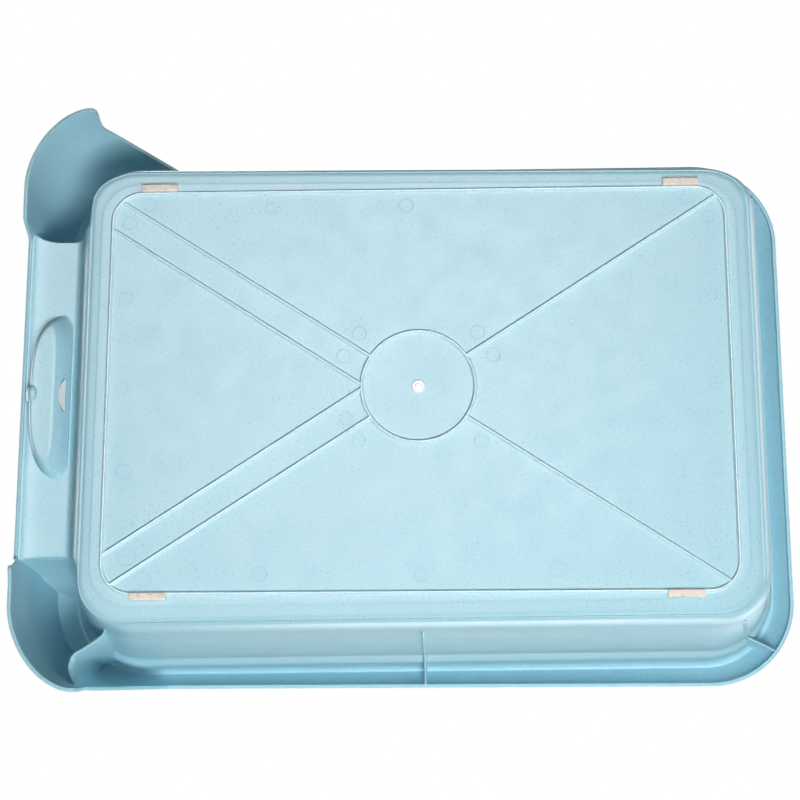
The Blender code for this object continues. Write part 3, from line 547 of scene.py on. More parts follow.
def shell_point(station, z):
    """The inner face of the outer shell at a station and a height."""
    kind, value = station[:2]
    middle_x, middle_y, radius_x, radius_y, power = shell_front_corner(z)
    if kind == "front":
        start = shell_front_corner(EAR_LOW)[1]
        beyond = value - ENTRY_HALF
        forward = LIP_BULGE * (1 - ease(beyond / EAR_ENTRY_RUN)) if z < LEDGE_SPRING else 0.0
        if beyond > 0:
            value = lerp(ENTRY_HALF, middle_y, beyond / (start - ENTRY_HALF))
            edge = (1 - clamp(beyond / EAR_EDGE_RUN)) ** 2
            forward -= EAR_EDGE_INSET * ease(beyond / EAR_ENTRY_RUN) * edge
        return middle_x - radius_x - forward, value
    if kind == "front_corner":
        limit = shell_front_corner(EAR_LOW)[0]
        reach = clamp((middle_x - limit) / radius_x)
        turn = math.acos(reach ** (0.5 * power)) * value
        x = middle_x - radius_x * math.cos(turn) ** (2 / power)
        return x, middle_y + radius_y * math.sin(turn) ** (2 / power)
    if kind == "side":
        if value < middle_x:
            along = (middle_x - value) / radius_x
            return value, middle_y + radius_y * (1 - along ** power) ** (1 / power)
        return value, shell_half(z)
    radius = RIM_CORNER_BACK - PLASTIC + SHELL_FLARE - shell_lean(z)
    back_x, back_y = shell_back(z) - radius, shell_half(z) - radius
    if kind == "back_corner":
        turn = 0.5 * math.pi * (1 - value)
        return back_x + radius * math.cos(turn), back_y + radius * math.sin(turn)
    return shell_back(z), value * back_y


def rise_share(station, across, end_lip):
    """0 along the entry, climbing round the front corner to 1. across is 0 at the pan and 1 at the lip."""
    kind, value = station[:2]
    corner_y = shell_front_corner(EAR_LOW)[1]
    if kind == "front":
        way = value - ENTRY_HALF
    elif kind == "front_corner":
        way = corner_y - ENTRY_HALF + 0.5 * math.pi * EAR_CORNER_Y * value
    else:
        return 1.0
    start = LEDGE_END_PAN * max(1 - 3 * across, 0.0) ** 2 + end_lip * max(2 * across - 1, 0.0) ** 2
    share = clamp((way - start) / (RISE_RUN - start))
    climb = 1 - (1 - share) ** RISE_POWER
    return climb * ease((way - start) / RISE_BLEND)


def ear_edge():
    """Lower edge of a corner shell's rear end: (x, z) pairs from its foot up to the skirt."""
    path = []
    for i in range(EAR_ROUND_STATIONS + 1):
        turn = 0.5 * math.pi * i / EAR_ROUND_STATIONS
        x = -EAR_REAR - EAR_ROUND_START * (1 - math.sin(turn)) - 0.5 * EAR_DRAFT
        path.append((x, EAR_LOW + EAR_FOOT * (1 - math.cos(turn))))
    heel_x, heel_z = -EAR_REAR + 0.5 * EAR_DRAFT, EAR_LOW + EAR_HEEL
    path += straight(path[-1], (heel_x, heel_z), EAR_HEEL_STATIONS)
    for k in range(1, EAR_ROUND_STATIONS + 1):
        turn = (0.5 * math.pi - EAR_SLANT) * k / EAR_ROUND_STATIONS
        path.append((heel_x + EAR_BEND * (1 - math.cos(turn)), heel_z + EAR_BEND * math.sin(turn)))
    bend_x, bend_z = path[-1]
    top_z = SKIRT_LOW - EAR_TOP_EASE * math.sin(EAR_SLANT)
    top_x = bend_x + (top_z - bend_z) / math.tan(EAR_SLANT)
    path += straight((bend_x, bend_z), (top_x, top_z), EAR_SLANT_STATIONS)
    lean = 1 / math.tan(EAR_SLANT)
    rise = SKIRT_LOW - top_z
    for k in range(1, EAR_TOP_STATIONS + 1):
        share = k / EAR_TOP_STATIONS
        out = lean * share + (EAR_TOP_EASE / rise - lean) * share ** 3
        path.append((top_x + rise * out, top_z + rise * (2 * share - share ** 2)))
    return path


def lower_edge(station):
    """Height of the shell's lower edge at a station."""
    kind, value = station[:2]
    if kind == "front":
        return lerp(LIP_LOW, EAR_LOW, ease((value - ENTRY_HALF) / EAR_ENTRY_RUN))
    if kind == "front_corner":
        return EAR_LOW
    if kind == "side" and len(station) > 2:
        return station[2]
    return SKIRT_LOW


def stations():
    """Places round half of the tray, from the middle of the entry to the middle of the back."""
    corner_y = shell_front_corner(EAR_LOW)[1]
    scoop_end = SCOOP_HALF * SCOOP_MARGIN
    start = ENTRY_HALF + EAR_ENTRY_MARGIN * EAR_ENTRY_RUN
    made = [("front", scoop_end * k / SCOOP_STATIONS) for k in range(SCOOP_STATIONS)]
    for k in range(LEDGE_STATIONS + 1):
        made.append(("front", lerp(scoop_end, ENTRY_HALF - ENTRY_NEAR, k / LEDGE_STATIONS)))
    for k in range(LEDGE_END_STATIONS + 1):
        made.append(("front", lerp(ENTRY_HALF - 0.5 * ENTRY_NEAR, start, k / LEDGE_END_STATIONS)))
    made += [("front", lerp(start, corner_y, k / EAR_FRONT_STATIONS)) for k in range(1, EAR_FRONT_STATIONS)]
    made += [("front_corner", k / EAR_CORNER_STATIONS) for k in range(EAR_CORNER_STATIONS)]
    edge = ear_edge()
    made += [("side", x, z) for x, z in edge]
    corner_x = shell_back(SKIRT_LOW) - RIM_CORNER_BACK + PLASTIC
    made += [("side", lerp(edge[-1][0], corner_x, k / SIDE_STATIONS)) for k in range(1, SIDE_STATIONS)]
    made += [("back_corner", k / BACK_CORNER_STATIONS) for k in range(BACK_CORNER_STATIONS + 1)]
    made += [("back", 1 - k / BACK_STATIONS) for k in range(1, BACK_STATIONS + 1)]
    return made


def scoop_depth(x, y):
    """How far the scoop hangs below the ledge at a plan point, x ahead of the origin."""
    ahead = max(x - SCOOP_BACK, 0.0) / (SCOOP_FRONT - SCOOP_BACK)
    aside = abs(y) / SCOOP_HALF
    r = (ahead ** SCOOP_POWER + aside ** SCOOP_POWER) ** (1 / SCOOP_POWER)
    inside = clamp((1 - r) * (SCOOP_FRONT - SCOOP_BACK) / SCOOP_SIDE)
    side = math.sqrt(1 - (1 - inside) ** 2) ** SCOOP_SIDE_POWER
    share = clamp((x - SCOOP_BACK + SCOOP_EASE - SCOOP_ROUND * aside ** SCOOP_ROUND_POWER) / SCOOP_SLOPE)
    slope = lerp(ease(share), 1 - (1 - share) ** 2, SCOOP_SLOPE_SHARE)
    end = 1 - SCOOP_END_RISE * clamp((abs(y) - SCOOP_HALF + SCOOP_END) / SCOOP_END) ** 2
    return SCOOP_DEEP * side * slope * end


def arch_height(along):
    """Height of the rim's underside: a round crest near the pan, then a long slope down to the skirt."""
    start = HEIGHT - PLASTIC - RIM_ARCH
    if along < ARCH_CREST:
        return start + RIM_ARCH * math.sqrt(1 - (1 - along / ARCH_CREST) ** 2)
    down = (along - ARCH_CREST) / (1 - ARCH_CREST)
    return start + RIM_ARCH - (RIM_ARCH + ARCH_FOOT) * lerp(down ** 2, down, ARCH_STRAIGHT)


def section(station, end_lip):
    """Underside points of the tray's shell at one station, from the floor out and down to the lower edge."""
    facing = shell_point(station, 0.5 * (EAR_LOW + SKIRT_LOW))
    points = []
    first = BAND_STEPS + CREASE_STEPS + SHOULDER_STEPS
    for i, (low, full) in enumerate(zip(pan_levels(True), pan_levels(False))):
        across = RISE_PAN_SHARE * max(i - first, 0) / (PAN_STEPS - 1 - first)
        low_point, full_point = Vector(level_point(low, facing)), Vector(level_point(full, facing))
        points.append(tuple(low_point.lerp(full_point, rise_share(station, across, end_lip))))
    share = rise_share(station, 1.0, end_lip)
    spring = lerp(LEDGE_SPRING, arch_height(1.0), share)
    outer_x, outer_y = shell_point(station, spring)
    inner_x, inner_y = points[-1][:2]
    for i in range(1, ARCH_STEPS):
        even = i / ARCH_STEPS
        along = lerp(even, 0.5 * (1 - math.cos(math.pi * even)), clamp(share * RISE_ARCH_SHARE))
        x, y = lerp(inner_x, outer_x, along), lerp(inner_y, outer_y, along)
        flat = LEDGE_UNDER - (LEDGE_UNDER - LEDGE_SPRING) * along ** LEDGE_POWER
        if station[0] == "front" and y < SCOOP_HALF:
            flat -= scoop_depth(-x, y)
        climb = rise_share(station, lerp(RISE_PAN_SHARE, 1.0, along), end_lip)
        points.append((x, y, lerp(flat, arch_height(along), climb)))
    low = lower_edge(station)
    for i in range(SKIRT_STEPS + 1):
        z = lerp(spring, low, i / SKIRT_STEPS)
        points.append((*shell_point(station, z), z))
    return points


def set_right_corner(points):
    """Moves the right corner shell's lower part: its front face inward, and its rounded corner out."""
    made = []
    first = len(points) - SKIRT_STEPS - 1
    for i, (x, y, z) in enumerate(points):
        low = (1 - clamp((z - EAR_LOW) / (SKIRT_LOW - EAR_LOW))) * (i >= first)
        ahead = ease((-x - EAR_REAR + CORNER_BLEND) / CORNER_BLEND)
        aside = ease((y - ENTRY_HALF) / CORNER_BLEND) * ahead * low
        clear = ease(min(FRONT_REACH + x, EAR_HALF - y) / CORNER_CLEAR)
        inward = RIGHT_INWARD - RIGHT_ROUND_OUT * clear
        made.append((x + inward * aside, y + RIGHT_ROUND_OUT * clear * aside, z))
    return made


def set_left_edge(points):
    """Moves the left base edge, and less of the wall above it, inward."""
    made = []
    for x, y, z in points[:PAN_STEPS]:
        share = ease((y - RIB_HALF) / (EDGE_HALF_BACK - RIB_HALF)) * (1 - clamp(z / STEP_Z))
        made.append((x, y - LEFT_EDGE_IN * share * (x > -EDGE_FRONT), z))
    return made + points[PAN_STEPS:]


def tray_sheet():
    """The whole underside as one open sheet, its faces turned up."""
    right = [set_right_corner(section(s, LEDGE_END_LIP_RIGHT)) for s in stations()]
    left = [set_left_edge(section(s, LEDGE_END_LIP_LEFT)) for s in stations()[1:-1]]
    mirrored = [[(x, -y, z) for x, y, z in points] for points in reversed(left)]
    bm = bmesh.new()
    rows = [[bm.verts.new(p) for p in points] for points in right + mirrored]
    for here, there in zip(rows, rows[1:] + rows[:1]):
        strip(bm, here, there, False)
    bm.faces.new([row[0] for row in rows])
    bmesh.ops.recalc_face_normals(bm, faces=bm.faces)
    floor = max(bm.faces, key=lambda face: len(face.verts))
    if floor.normal.z < 0:
        bmesh.ops.reverse_faces(bm, faces=bm.faces)
    return bm


# Helpers for pieces

def new_object(bm, name, finish):
    mesh = bpy.data.meshes.new(name)
    bm.to_mesh(mesh)
    bm.free()
    made = bpy.data.objects.new(name, mesh)
    bpy.context.scene.collection.objects.link(made)
    mesh.materials.append(finish)
    return made


def smooth(thing, angle):
    for face in thing.data.polygons:
        face.use_smooth = True
    thing.data.set_sharp_from_angle(angle=math.radians(angle))


def finished(bm, name, finish, angle):
    """A piece with its faces turned outward and shaded smooth."""
    bmesh.ops.recalc_face_normals(bm, faces=bm.faces)
    made = new_object(bm, name, finish)
    smooth(made, angle)
    return made


def applied(thing):
    """Replaces an object's mesh by what its modifiers make of it."""
    graph = bpy.context.evaluated_depsgraph_get()
    mesh = bpy.data.meshes.new_from_object(thing.evaluated_get(graph))
    thing.modifiers.clear()
    old = thing.data
    thing.data = mesh
    bpy.data.meshes.remove(old)


def strip(bm, here, there, closed):
    """Faces between two rows of vertices, which run round when closed."""
    for i in range(len(here) if closed else len(here) - 1):
        j = (i + 1) % len(here)
        bm.faces.new((here[i], here[j], there[j], there[i]))


def skin(bm, rings):
    """A closed tube through rings of vertices, with a face over each end."""
    for here, there in zip(rings, rings[1:]):
        strip(bm, here, there, True)
    bm.faces.new(rings[0])
    bm.faces.new(rings[-1])


def sweep(bm, path, closed, profile, level):
    """A ridge along a plan path. profile holds half-section points, from its foot to its top."""
    across = [(-out, up) for out, up in profile] + [(0.0, profile[-1][1])]
    across += [(out, up) for out, up in reversed(profile)]
    rings = []
    count = len(path)
    for i, place in enumerate(path):
        before = path[(i - 1) % count] if closed or i else path[i]
        after = path[(i + 1) % count] if closed or i < count - 1 else path[i]
        along = (Vector(after) - Vector(before)).normalized()
        side = Vector((-along.y, along.x))
        middle = Vector(place)
        rings.append([bm.verts.new((*(middle + side * out), level - up)) for out, up in across])
    pairs = list(zip(rings, rings[1:]))
    if closed:
        pairs.append((rings[-1], rings[0]))
    for here, there in pairs:
        strip(bm, here, there, False)
    if not closed:
        for ring in (rings[0], rings[-1]):
            bm.faces.new(ring)


def circle(x, y, radius, sides):
    turns = [2 * math.pi * i / sides for i in range(sides)]
    return [(x + radius * math.cos(turn), y + radius * math.sin(turn)) for turn in turns]


def rounded_plan(front, back, half, radius, steps):
    corners = (
        (back - radius, half - radius, 0.0),
        (-front + radius, half - radius, 0.5),
        (-front + radius, -half + radius, 1.0),
        (back - radius, -half + radius, 1.5),
    )
    points = []
    for x, y, start in corners:
        for i in range(steps + 1):
            turn = math.pi * (start + 0.5 * i / steps)
            points.append((x + radius * math.cos(turn), y + radius * math.sin(turn)))
    return points


def inside_border(point):
    over_x = max(abs(point.x - RING_X) - 0.5 * (RIB_BACK + RIB_FRONT) + RIB_RADIUS, 0.0)
    over_y = max(abs(point.y) - RIB_HALF + RIB_RADIUS, 0.0)
    return math.hypot(over_x, over_y) < RIB_RADIUS


def border_reach(start, along):
    """Where a straight line from start meets the border rib."""
    near, far = 0.0, RIB_FRONT + RIB_BACK
    for _ in range(DIAGONAL_HALVINGS):
        middle = 0.5 * (near + far)
        if inside_border(start + along * middle):
            near = middle
        else:
            far = middle
    return start + along * near


def ribs(finish):
    bm = bmesh.new()
    border = rounded_plan(RIB_FRONT, RIB_BACK, RIB_HALF, RIB_RADIUS, RIB_CORNER_STEPS)
    sweep(bm, border, True, RIB_PROFILE, FLOOR_Z)
    sweep(bm, circle(RING_X, 0.0, RING_RADIUS, RING_SIDES), True, RIB_PROFILE, FLOOR_Z)
    middle = Vector((RING_X, 0.0))
    cos, sin = math.cos(DIAGONAL_ANGLE), math.sin(DIAGONAL_ANGLE)
    for side in (1, -1):
        for lean, offset in ((-cos, 0.0), (cos, 0.0), (-cos, TWIN_OFFSET)):
            along = Vector((lean, side * sin))
            start = middle + Vector((-sin, -side * cos)) * offset
            start += along * math.sqrt(RING_RADIUS ** 2 - offset ** 2)
            sweep(bm, [start, border_reach(start, along)], False, RIB_PROFILE, FLOOR_Z)
    return finished(bm, "tray_ribs", finish, RIB_SHARP)


def ejector_marks(finish):
    bm = bmesh.new()
    for x, y, wide in EJECTOR_PLACES:
        mark = circle(x * MM, y * MM, 0.5 * wide * MM, EJECTOR_SIDES)
        sweep(bm, mark, True, EJECTOR_PROFILE, FLOOR_Z)
    for side in (1, -1):
        mark = circle(-SCOOP_MARK_X, side * SCOOP_MARK_Y, SCOOP_MARK_RADIUS, SCOOP_MARK_SIDES)
        sweep(bm, mark, True, EJECTOR_PROFILE, LEDGE_UNDER - SCOOP_DEEP)
    return finished(bm, "tray_ejector_marks", finish, MARK_SHARP)


def dome(bm, x, y, base, radii, height, power, rings, sides):
    """A low dome hanging below base."""
    loops = []
    turns = [2 * math.pi * k / sides for k in range(sides)]
    for i in range(rings):
        turn = 0.5 * math.pi * i / rings
        reach_x, reach_y = (radius * math.cos(turn) ** power for radius in radii)
        z = base - height * math.sin(turn)
        loop = [(x + reach_x * math.cos(a), y + reach_y * math.sin(a), z) for a in turns]
        loops.append([bm.verts.new(point) for point in loop])
    tip = bm.verts.new((x, y, base - height))
    for low, high in zip(loops, loops[1:]):
        strip(bm, low, high, True)
    for k in range(sides):
        bm.faces.new((loops[-1][k], loops[-1][(k + 1) % sides], tip))
    bm.faces.new(loops[0])


def gate(finish):
    bm = bmesh.new()
    for radius, base, height, power, rings, sides in GATE_DOMES:
        dome(bm, RING_X, 0.0, FLOOR_Z + base, (radius, radius), height, power, rings, sides)
    return finished(bm, "tray_gate_mark", finish, RIB_SHARP)


def nub(finish):
    bm = bmesh.new()
    root = LEDGE_UNDER - SCOOP_DEEP + NUB_ROOT
    height = NUB_ROOT + NUB_HIGH
    dome(bm, -NUB_X, 0.0, root, (NUB_WIDE, NUB_LONG), height, NUB_POWER, NUB_RINGS, NUB_SIDES)
    return finished(bm, "tray_scoop_nub", finish, NUB_SHARP)


def along_path(path, reach):
    """The point at a distance along a path, and the path's direction there."""
    for start, end in zip(path, path[1:]):
        span = (end - start).length
        if reach <= span or end is path[-1]:
            along = (end - start) / span
            return start + along * reach, along
        reach -= span


def rounded_path(path, steps):
    """The same plan path with its bends rounded."""
    made = []
    last = len(path) - 1
    for i in range(last):
        around = [path[min(max(k, 0), last)] for k in (i - 1, i, i + 1, i + 2)]
        made += [curve(*around, k / steps) for k in range(steps)]
    made.append(path[-1])
    return made


def web(bm, tree, path, end_low):
    """An upright web between a wall and the skirt, with a rounded lower edge that runs out at end_low."""
    total = sum((end - start).length for start, end in zip(path, path[1:]))
    count = math.ceil(total / WEB_STEP)

    def underside(reach):
        place, along = along_path(path, reach)
        hit, normal = tree.ray_cast(Vector((*place, -PLASTIC)), Vector((0, 0, 1)))[:2]
        return place, along, hit.z, abs(normal.z)

    rings = []
    spread = None
    spring = HEIGHT - PLASTIC - RIM_ARCH
    for i in range(count + 1):
        reach = total * i / count
        place, along, z, slope = underside(reach)
        high = max(min(z + SINK / slope, spring), z + SINK)
        low = max(underside(max(reach - WEB_RIB, 0.0))[2], WEB_START)
        if low > STEP_Z - WEB_RIB:
            spread = spread or (reach, min(low, STEP_Z))
            low = lerp(spread[1], end_low, (reach - spread[0]) / (total - spread[0]))
        high = max(high, low + SINK)
        side = Vector((-along.y, along.x)) * 0.5 * WEB_THICK
        edge = [(out, low + up * WEB_THICK) for out, up in WEB_EDGE_SHARES]
        edge += [(-out, level) for out, level in edge[-2::-1]]
        corners = [(1.0, high), *edge, (-1.0, high)]
        place += along * (SINK * (i == count) - SINK * (i == 0))
        rings.append([bm.verts.new((*(place + side * out), level)) for out, level in corners])
    skin(bm, rings)


def corner_web(bm):
    """The tall curled web between the pan's corner and the rear of the right corner shell."""
    core_x, core_y = EDGE_RADIUS - EDGE_FRONT, EDGE_HALF_FRONT - EDGE_RADIUS

    def place(u, bulge, z):
        rise = (z - FLOOR_Z - SHOULDER_RISE_FRONT) / (STEP_Z - FLOOR_Z - SHOULDER_RISE_FRONT)
        run = WALL_RUN_FRONT * clamp(rise) + STEP_RUN_FRONT * clamp((z - STEP_Z) / (SKIRT_LOW - STEP_Z))
        reach = EDGE_RADIUS + run - SINK
        start = Vector((core_x - reach * CURL_LEAN, core_y + reach * math.sqrt(1 - CURL_LEAN ** 2)))
        end = Vector(shell_point(("side", -CURL_END), z))
        chord = end - start
        across = Vector((-chord.y, chord.x))
        return start + chord * lerp(-CURL_LAP, 1 + CURL_LAP, u) + across * bulge

    levels = [lerp(CURL_LOW, CURL_HIGH, n / CURL_LEVELS) for n in range(CURL_LEVELS + 1)]
    lines = []
    for i in range(CURL_STEPS + 1):
        u, bulge = curve_at(CURL_SHARES, i / CURL_STEPS * (len(CURL_SHARES) - 1))
        lines.append([Vector((*place(u, bulge, z), z)) for z in levels])
    rings = []
    for i, line in enumerate(lines):
        before, after = lines[max(i - 1, 0)], lines[min(i + 1, CURL_STEPS)]
        faces = []
        for out in (1, -1):
            points = []
            for low, here, high in zip(before, line, after):
                along = (high - low).xy.normalized()
                side = Vector((-along.y, along.x, 0.0)) * 0.5 * WEB_THICK
                points.append(here + side * out)
            faces.append(points)
        ridge = line[0] - Vector((0.0, 0.0, CURL_RIDGE * WEB_THICK))
        rings.append([bm.verts.new(point) for point in (*reversed(faces[0]), ridge, *faces[1])])
    skin(bm, rings)


def webs(tree, finish):
    bm = bmesh.new()
    front, back = -EDGE_FRONT + EDGE_RADIUS, EDGE_BACK - EDGE_RADIUS
    wall = lerp(EDGE_HALF_FRONT, EDGE_HALF_BACK, (SIDE_WEB_X - front) / (back - front))
    end_low = SKIRT_LOW + WEB_LAP
    for side in (1, -1):
        web(bm, tree, [Vector((SIDE_WEB_X, side * y)) for y in (wall, shell_half(end_low))], end_low)
        corner = [Vector((x, side * y)) for x, y in BACK_WEB]
        web(bm, tree, rounded_path(corner, WEB_BEND_STEPS), end_low)
    corner = [Vector((-x, -y)) for x, y in FRONT_WEB]
    web(bm, tree, rounded_path(corner, WEB_BEND_STEPS), SKIRT_LOW)
    corner_web(bm)
    return finished(bm, "tray_webs", finish, WEB_SHARP)


def cut_slot(bm):
    """Cuts the slot into the sheet: straight towards the pan, bowed towards the entry."""
    corners = [Vector((-SLOT_BACK, -SLOT_HALF)), Vector((-SLOT_BACK, SLOT_HALF))]
    for i in range(SLOT_STEPS + 1):
        share = 1 - 2 * i / SLOT_STEPS
        bow = lerp(SLOT_BACK + SLOT_END, SLOT_FRONT, 1 - share * share)
        corners.append(Vector((-bow, SLOT_HALF * share)))
    sides = list(zip(corners, corners[1:] + corners[:1]))

    def near():
        made = []
        for face in bm.faces:
            x, y, z = face.calc_center_median()
            between = SLOT_BACK - SLOT_MARGIN < -x < SLOT_FRONT + SLOT_MARGIN
            if between and abs(y) < SLOT_HALF + SLOT_MARGIN and z > SLOT_LOW:
                made.append(face)
        return made

    def inside(point):
        turns = [(end - start).cross(point - start) for start, end in sides]
        return all(turn > 0 for turn in turns) or all(turn < 0 for turn in turns)

    for start, end in sides:
        faces = near()
        geometry = set(faces)
        for face in faces:
            geometry.update(face.edges)
            geometry.update(face.verts)
        across = Vector((end.y - start.y, start.x - end.x, 0.0)).normalized()
        place = (*start, 0.0)
        bmesh.ops.bisect_plane(bm, geom=list(geometry), plane_co=place, plane_no=across, dist=CUT_NEAR)
    gone = [face for face in near() if inside(face.calc_center_median().xy)]
    bmesh.ops.delete(bm, geom=gone, context="FACES")


def tray(finish, polished):
    """The shell, and a tree of its underside."""
    bm = tray_sheet()
    tree = BVHTree.FromBMesh(bm)
    cut_slot(bm)
    made = new_object(bm, "tray_shell", finish)
    sheet = [(vertex.co.copy(), vertex.normal.copy()) for vertex in made.data.vertices]
    shell = made.modifiers.new("shell", "SOLIDIFY")
    shell.thickness = PLASTIC
    shell.offset = 1.0
    shell.use_even_offset = True
    applied(made)
    # An even offset runs far out at the sheet's sharpest corners
    for i, vertex in enumerate(made.data.vertices):
        place, normal = sheet[i % len(sheet)]
        if (vertex.co - place).length > LONGEST_OFFSET:
            vertex.co = place + normal * PLASTIC
    edges = made.modifiers.new("edges", "BEVEL")
    edges.limit_method = "ANGLE"
    edges.angle_limit = BEVEL_ANGLE
    edges.width = BEVEL
    edges.segments = BEVEL_SEGMENTS
    edges.use_clamp_overlap = True
    applied(made)
    smooth(made, SHELL_SHARP)
    made.data.materials.append(polished)
    for face in made.data.polygons:
        x, y, z = face.center
        if z < LEDGE_UNDER and scoop_depth(-x, y) > SCOOP_POLISHED * SCOOP_DEEP:
            face.material_index = 1
    return made, tree


# Pads

def pad(name, finish):
    """A pad with rounded edges, a soft face and a slightly uneven outline."""
    low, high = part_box(name)
    shift_x, shift_y = PAD_SHIFTS[name]
    middle_x, middle_y = 0.5 * (low[0] + high[0]) + shift_x, 0.5 * (low[1] + high[1]) + shift_y
    half_x, half_y = 0.5 * (high[0] - low[0]), 0.5 * (high[1] - low[1])
    phases = middle_x * PAD_PHASES[0], middle_y * PAD_PHASES[1]
    bm = bmesh.new()
    rings = []
    for share, z in ((1.0, high[2]), *((share, low[2] + up) for share, up in PAD_RINGS)):
        inset = (1 - share) * half_y
        corner = max(PAD_CORNER - inset, PAD_CORNER_LEAST)
        plan = rounded_plan(half_x - inset, half_x - inset, half_y - inset, corner, PAD_CORNER_STEPS)
        ring = []
        for k, (x, y) in enumerate(plan):
            first, second = (1 + math.sin(k * turn + phase) for turn, phase in zip(PAD_TURNS, phases))
            uneven = 1 - PAD_UNEVEN * first * second
            ring.append(bm.verts.new((middle_x + x * uneven, middle_y + y * uneven, z)))
        rings.append(ring)
    skin(bm, rings)
    return finished(bm, name + "_soft", finish, PAD_SHARP)


# Materials

def node(tree, kind, **inputs):
    made = tree.nodes.new(kind)
    for key, value in inputs.items():
        made.inputs[key].default_value = value
    return made


def texture(tree, kind, **inputs):
    """A texture that stays in place on the piece."""
    made = node(tree, kind, **inputs)
    place = tree.nodes.new("ShaderNodeTexCoord").outputs["Object"]
    tree.links.new(place, made.inputs["Vector"])
    return made


def grain_noise(tree, grain):
    scale, detail, roughness = grain
    return texture(tree, "ShaderNodeTexNoise", Scale=scale, Detail=detail, Roughness=roughness).outputs["Fac"]


def ramp(tree, source, stops):
    """A colour ramp. A stop's value is a colour, or one number for a grey."""
    made = tree.nodes.new("ShaderNodeValToRGB")
    tree.links.new(source, made.inputs["Fac"])
    elements = made.color_ramp.elements
    for element, (position, value) in zip(elements, stops):
        element.position = position
        element.color = (*value, 1.0) if isinstance(value, tuple) else (value, value, value, 1.0)
    return made.outputs["Color"]


def blend(tree, share, first, second):
    """first, with second over it by a share."""
    made = tree.nodes.new("ShaderNodeMix")
    made.data_type = "RGBA"
    tree.links.new(share, made.inputs["Factor"])
    for socket, value in ((made.inputs[6], first), (made.inputs[7], second)):
        if isinstance(value, tuple):
            socket.default_value = (*value, 1.0)
        else:
            tree.links.new(value, socket)
    return made.outputs[2]


def linear(red, green, blue):
    made = []
    for value in (red, green, blue):
        value /= 255
        made.append(value / 12.92 if value <= 0.04045 else ((value + 0.055) / 1.055) ** 2.4)
    return tuple(made)


def shaded(colour, level):
    return tuple(channel * level for channel in colour)


def base_material(name, roughness, specular):
    made = bpy.data.materials.new(name)
    made.use_nodes = True
    tree = made.node_tree
    shader = tree.nodes["Principled BSDF"]
    shader.inputs["Roughness"].default_value = roughness
    shader.inputs["Specular IOR Level"].default_value = specular
    return made, tree, shader


def bump(tree, shader, height, strength):
    made = node(tree, "ShaderNodeBump", Strength=strength, Distance=BUMP_DEEP)
    tree.links.new(height, made.inputs["Height"])
    tree.links.new(made.outputs["Normal"], shader.inputs["Normal"])


def speckled_plastic(name, base, gloss):
    """Mottled plastic with fine dark flecks, darker spots and pale flecks."""
    smoothest, roughest, specular = gloss
    made, tree, shader = base_material(name, smoothest, specular)
    base, dark, light = linear(*base), linear(*DARK_BLUE), linear(*LIGHT_BLUE)
    mottle = grain_noise(tree, MOTTLE)
    low, high = MOTTLE_RANGE
    colour = ramp(tree, mottle, ((low, shaded(base, MOTTLE_SHADE)), (high, base)))
    fleck = grain_noise(tree, FLECK)
    colour = blend(tree, ramp(tree, fleck, FLECK_STOPS), colour, dark)
    spot = texture(tree, "ShaderNodeTexVoronoi", Scale=SPOT_SCALE, Randomness=1.0)
    spots = ramp(tree, spot.outputs["Distance"], SPOT_STOPS)
    colour = blend(tree, spots, colour, shaded(dark, SPOT_SHADE))
    pale = grain_noise(tree, PALE)
    colour = blend(tree, ramp(tree, pale, PALE_STOPS), colour, light)
    tree.links.new(colour, shader.inputs["Base Color"])
    rough = ramp(tree, mottle, ((low, smoothest), (high, roughest)))
    tree.links.new(rough, shader.inputs["Roughness"])
    bump(tree, shader, fleck, SPECKLE_BUMP)
    return made


def plain_plastic(name, base, grain, shade, roughness):
    made, tree, shader = base_material(name, roughness, PLAIN_SPECULAR)
    base = linear(*base)
    low, high = MOTTLE_RANGE
    grains = grain_noise(tree, grain)
    colour = ramp(tree, grains, ((low, shaded(base, shade)), (high, base)))
    tree.links.new(colour, shader.inputs["Base Color"])
    bump(tree, shader, grains, PLAIN_BUMP)
    return made


def rubber(name, base, dark):
    made, tree, shader = base_material(name, RUBBER_ROUGHNESS, RUBBER_SPECULAR)
    marks = ramp(tree, grain_noise(tree, RUBBER_STAIN), STAIN_STOPS)
    tree.links.new(blend(tree, marks, linear(*base), linear(*dark)), shader.inputs["Base Color"])
    bump(tree, shader, grain_noise(tree, RUBBER_GRAIN), RUBBER_BUMP)
    return made


# Stage, light and camera

def combined(tree, operation, first, second):
    """What an operation makes of two values, kept between 0 and 1."""
    made = tree.nodes.new("ShaderNodeMath")
    made.operation = operation
    made.use_clamp = True
    tree.links.new(first, made.inputs[0])
    tree.links.new(second, made.inputs[1])
    return made.outputs[0]


def stage():
    """A plain pale floor that only shows from above. Light passes through it."""
    bm = bmesh.new()
    bmesh.ops.create_grid(bm, x_segments=1, y_segments=1, size=FLOOR_REACH)
    made, tree, shader = base_material("pale_floor", FLOOR_ROUGHNESS, FLOOR_SPECULAR)
    shader.inputs["Base Color"].default_value = FLOOR_COLOUR
    clear = tree.nodes.new("ShaderNodeBsdfTransparent")
    back = tree.nodes.new("ShaderNodeNewGeometry").outputs["Backfacing"]
    seen = tree.nodes.new("ShaderNodeLightPath").outputs["Is Camera Ray"]
    mixed = tree.nodes.new("ShaderNodeMixShader")
    tree.links.new(combined(tree, "SUBTRACT", seen, back), mixed.inputs["Fac"])
    tree.links.new(clear.outputs[0], mixed.inputs[1])
    tree.links.new(shader.outputs[0], mixed.inputs[2])
    tree.links.new(mixed.outputs[0], tree.nodes["Material Output"].inputs["Surface"])
    floor = new_object(bm, "studio_floor", made)
    floor.location.z = -FLOOR_DROP


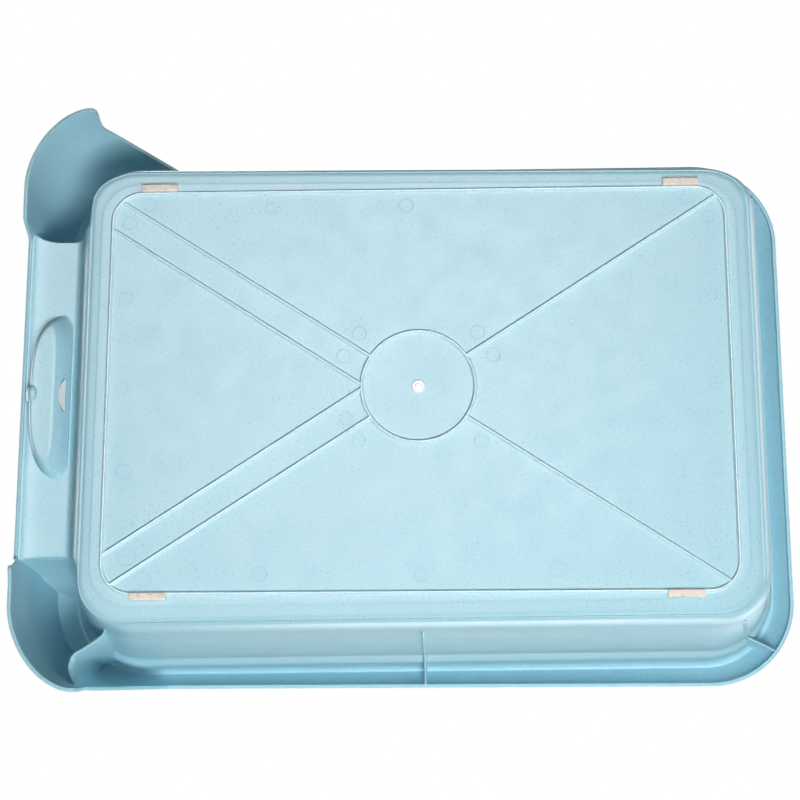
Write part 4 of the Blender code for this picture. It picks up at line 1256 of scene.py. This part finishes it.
def world():
    """A white background that hardly lights the tray."""
    made = bpy.data.worlds.new("studio")
    bpy.context.scene.world = made
    made.use_nodes = True
    tree = made.node_tree
    background = tree.nodes["Background"]
    background.inputs["Color"].default_value = BACKGROUND
    paths = tree.nodes.new("ShaderNodeLightPath")
    seen = paths.outputs["Is Camera Ray"]
    for other in ("Is Glossy Ray", "Is Transmission Ray"):
        seen = combined(tree, "MAXIMUM", seen, paths.outputs[other])
    level = tree.nodes.new("ShaderNodeMapRange")
    level.inputs["To Min"].default_value = WORLD_LIGHT
    level.inputs["To Max"].default_value = 1.0
    tree.links.new(seen, level.inputs["Value"])
    tree.links.new(level.outputs[0], background.inputs["Strength"])


def lamp(name, place, aim, size, power, lights_colour):
    """A square lamp. One that doesn't light the colour is only seen in the gloss."""
    light = bpy.data.lights.new(name, "AREA")
    light.shape = "SQUARE"
    light.size = size
    light.energy = power
    made = bpy.data.objects.new(name, light)
    bpy.context.scene.collection.objects.link(made)
    made.location = place
    made.rotation_euler = (Vector(aim) - Vector(place)).to_track_quat("-Z", "Y").to_euler()
    made.visible_diffuse = lights_colour


def camera():
    made = bpy.data.cameras.new("camera")
    made.lens = CAMERA_LENS
    made.sensor_width = CAMERA_SENSOR
    made.clip_start = CAMERA_CLIP
    view = bpy.data.objects.new("camera", made)
    bpy.context.scene.collection.objects.link(view)
    rows = zip(CAMERA_RIGHT, CAMERA_UP, CAMERA_BACK, CAMERA_PLACE)
    view.matrix_world = Matrix((*rows, (0.0, 0.0, 0.0, 1.0)))
    bpy.context.scene.camera = view


def main():
    scene = bpy.context.scene
    scene.view_settings.view_transform = "Standard"
    camera()
    world()
    for values in LAMPS:
        lamp(*values)
    stage()
    blue = speckled_plastic("blue_plastic", BLUE, BLUE_GLOSS)
    polished = speckled_plastic("blue_plastic_polished", BLUE, SCOOP_GLOSS)
    # The ribs get a lighter blue than the shell: a painted highlight on the ribs
    rib_painted_highlight_blue = speckled_plastic("blue_plastic_ribs_painted_highlight", RIB_PAINTED_HIGHLIGHT_BLUE, RIB_GLOSS)
    white = plain_plastic("white_plastic", WHITE, WHITE_GRAIN, WHITE_SHADE, WHITE_ROUGHNESS)
    scar = plain_plastic("gate_plastic", GATE_WHITE, GATE_GRAIN, GATE_SHADE, GATE_ROUGHNESS)
    beige = rubber("beige_rubber", BEIGE, DARK_BEIGE)
    shell, tree = tray(blue, polished)
    pieces = [shell, ribs(rib_painted_highlight_blue), ejector_marks(blue), nub(polished), webs(tree, blue), gate(scar)]
    for piece in pieces:
        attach(piece, "tray")
    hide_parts("tray_body")
    for name in PAD_SHIFTS:
        soft = pad(name, beige)
        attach(soft, "tray")
        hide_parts(name)
    grate = frame["nodes"]["grate"]
    grate.data.materials.clear()
    grate.data.materials.append(white)
    round_edges = grate.modifiers.new("round_edges", "BEVEL")
    round_edges.limit_method = "ANGLE"
    round_edges.angle_limit = GRATE_BEVEL_ANGLE
    round_edges.width = GRATE_BEVEL
    round_edges.segments = GRATE_BEVEL_SEGMENTS


main()
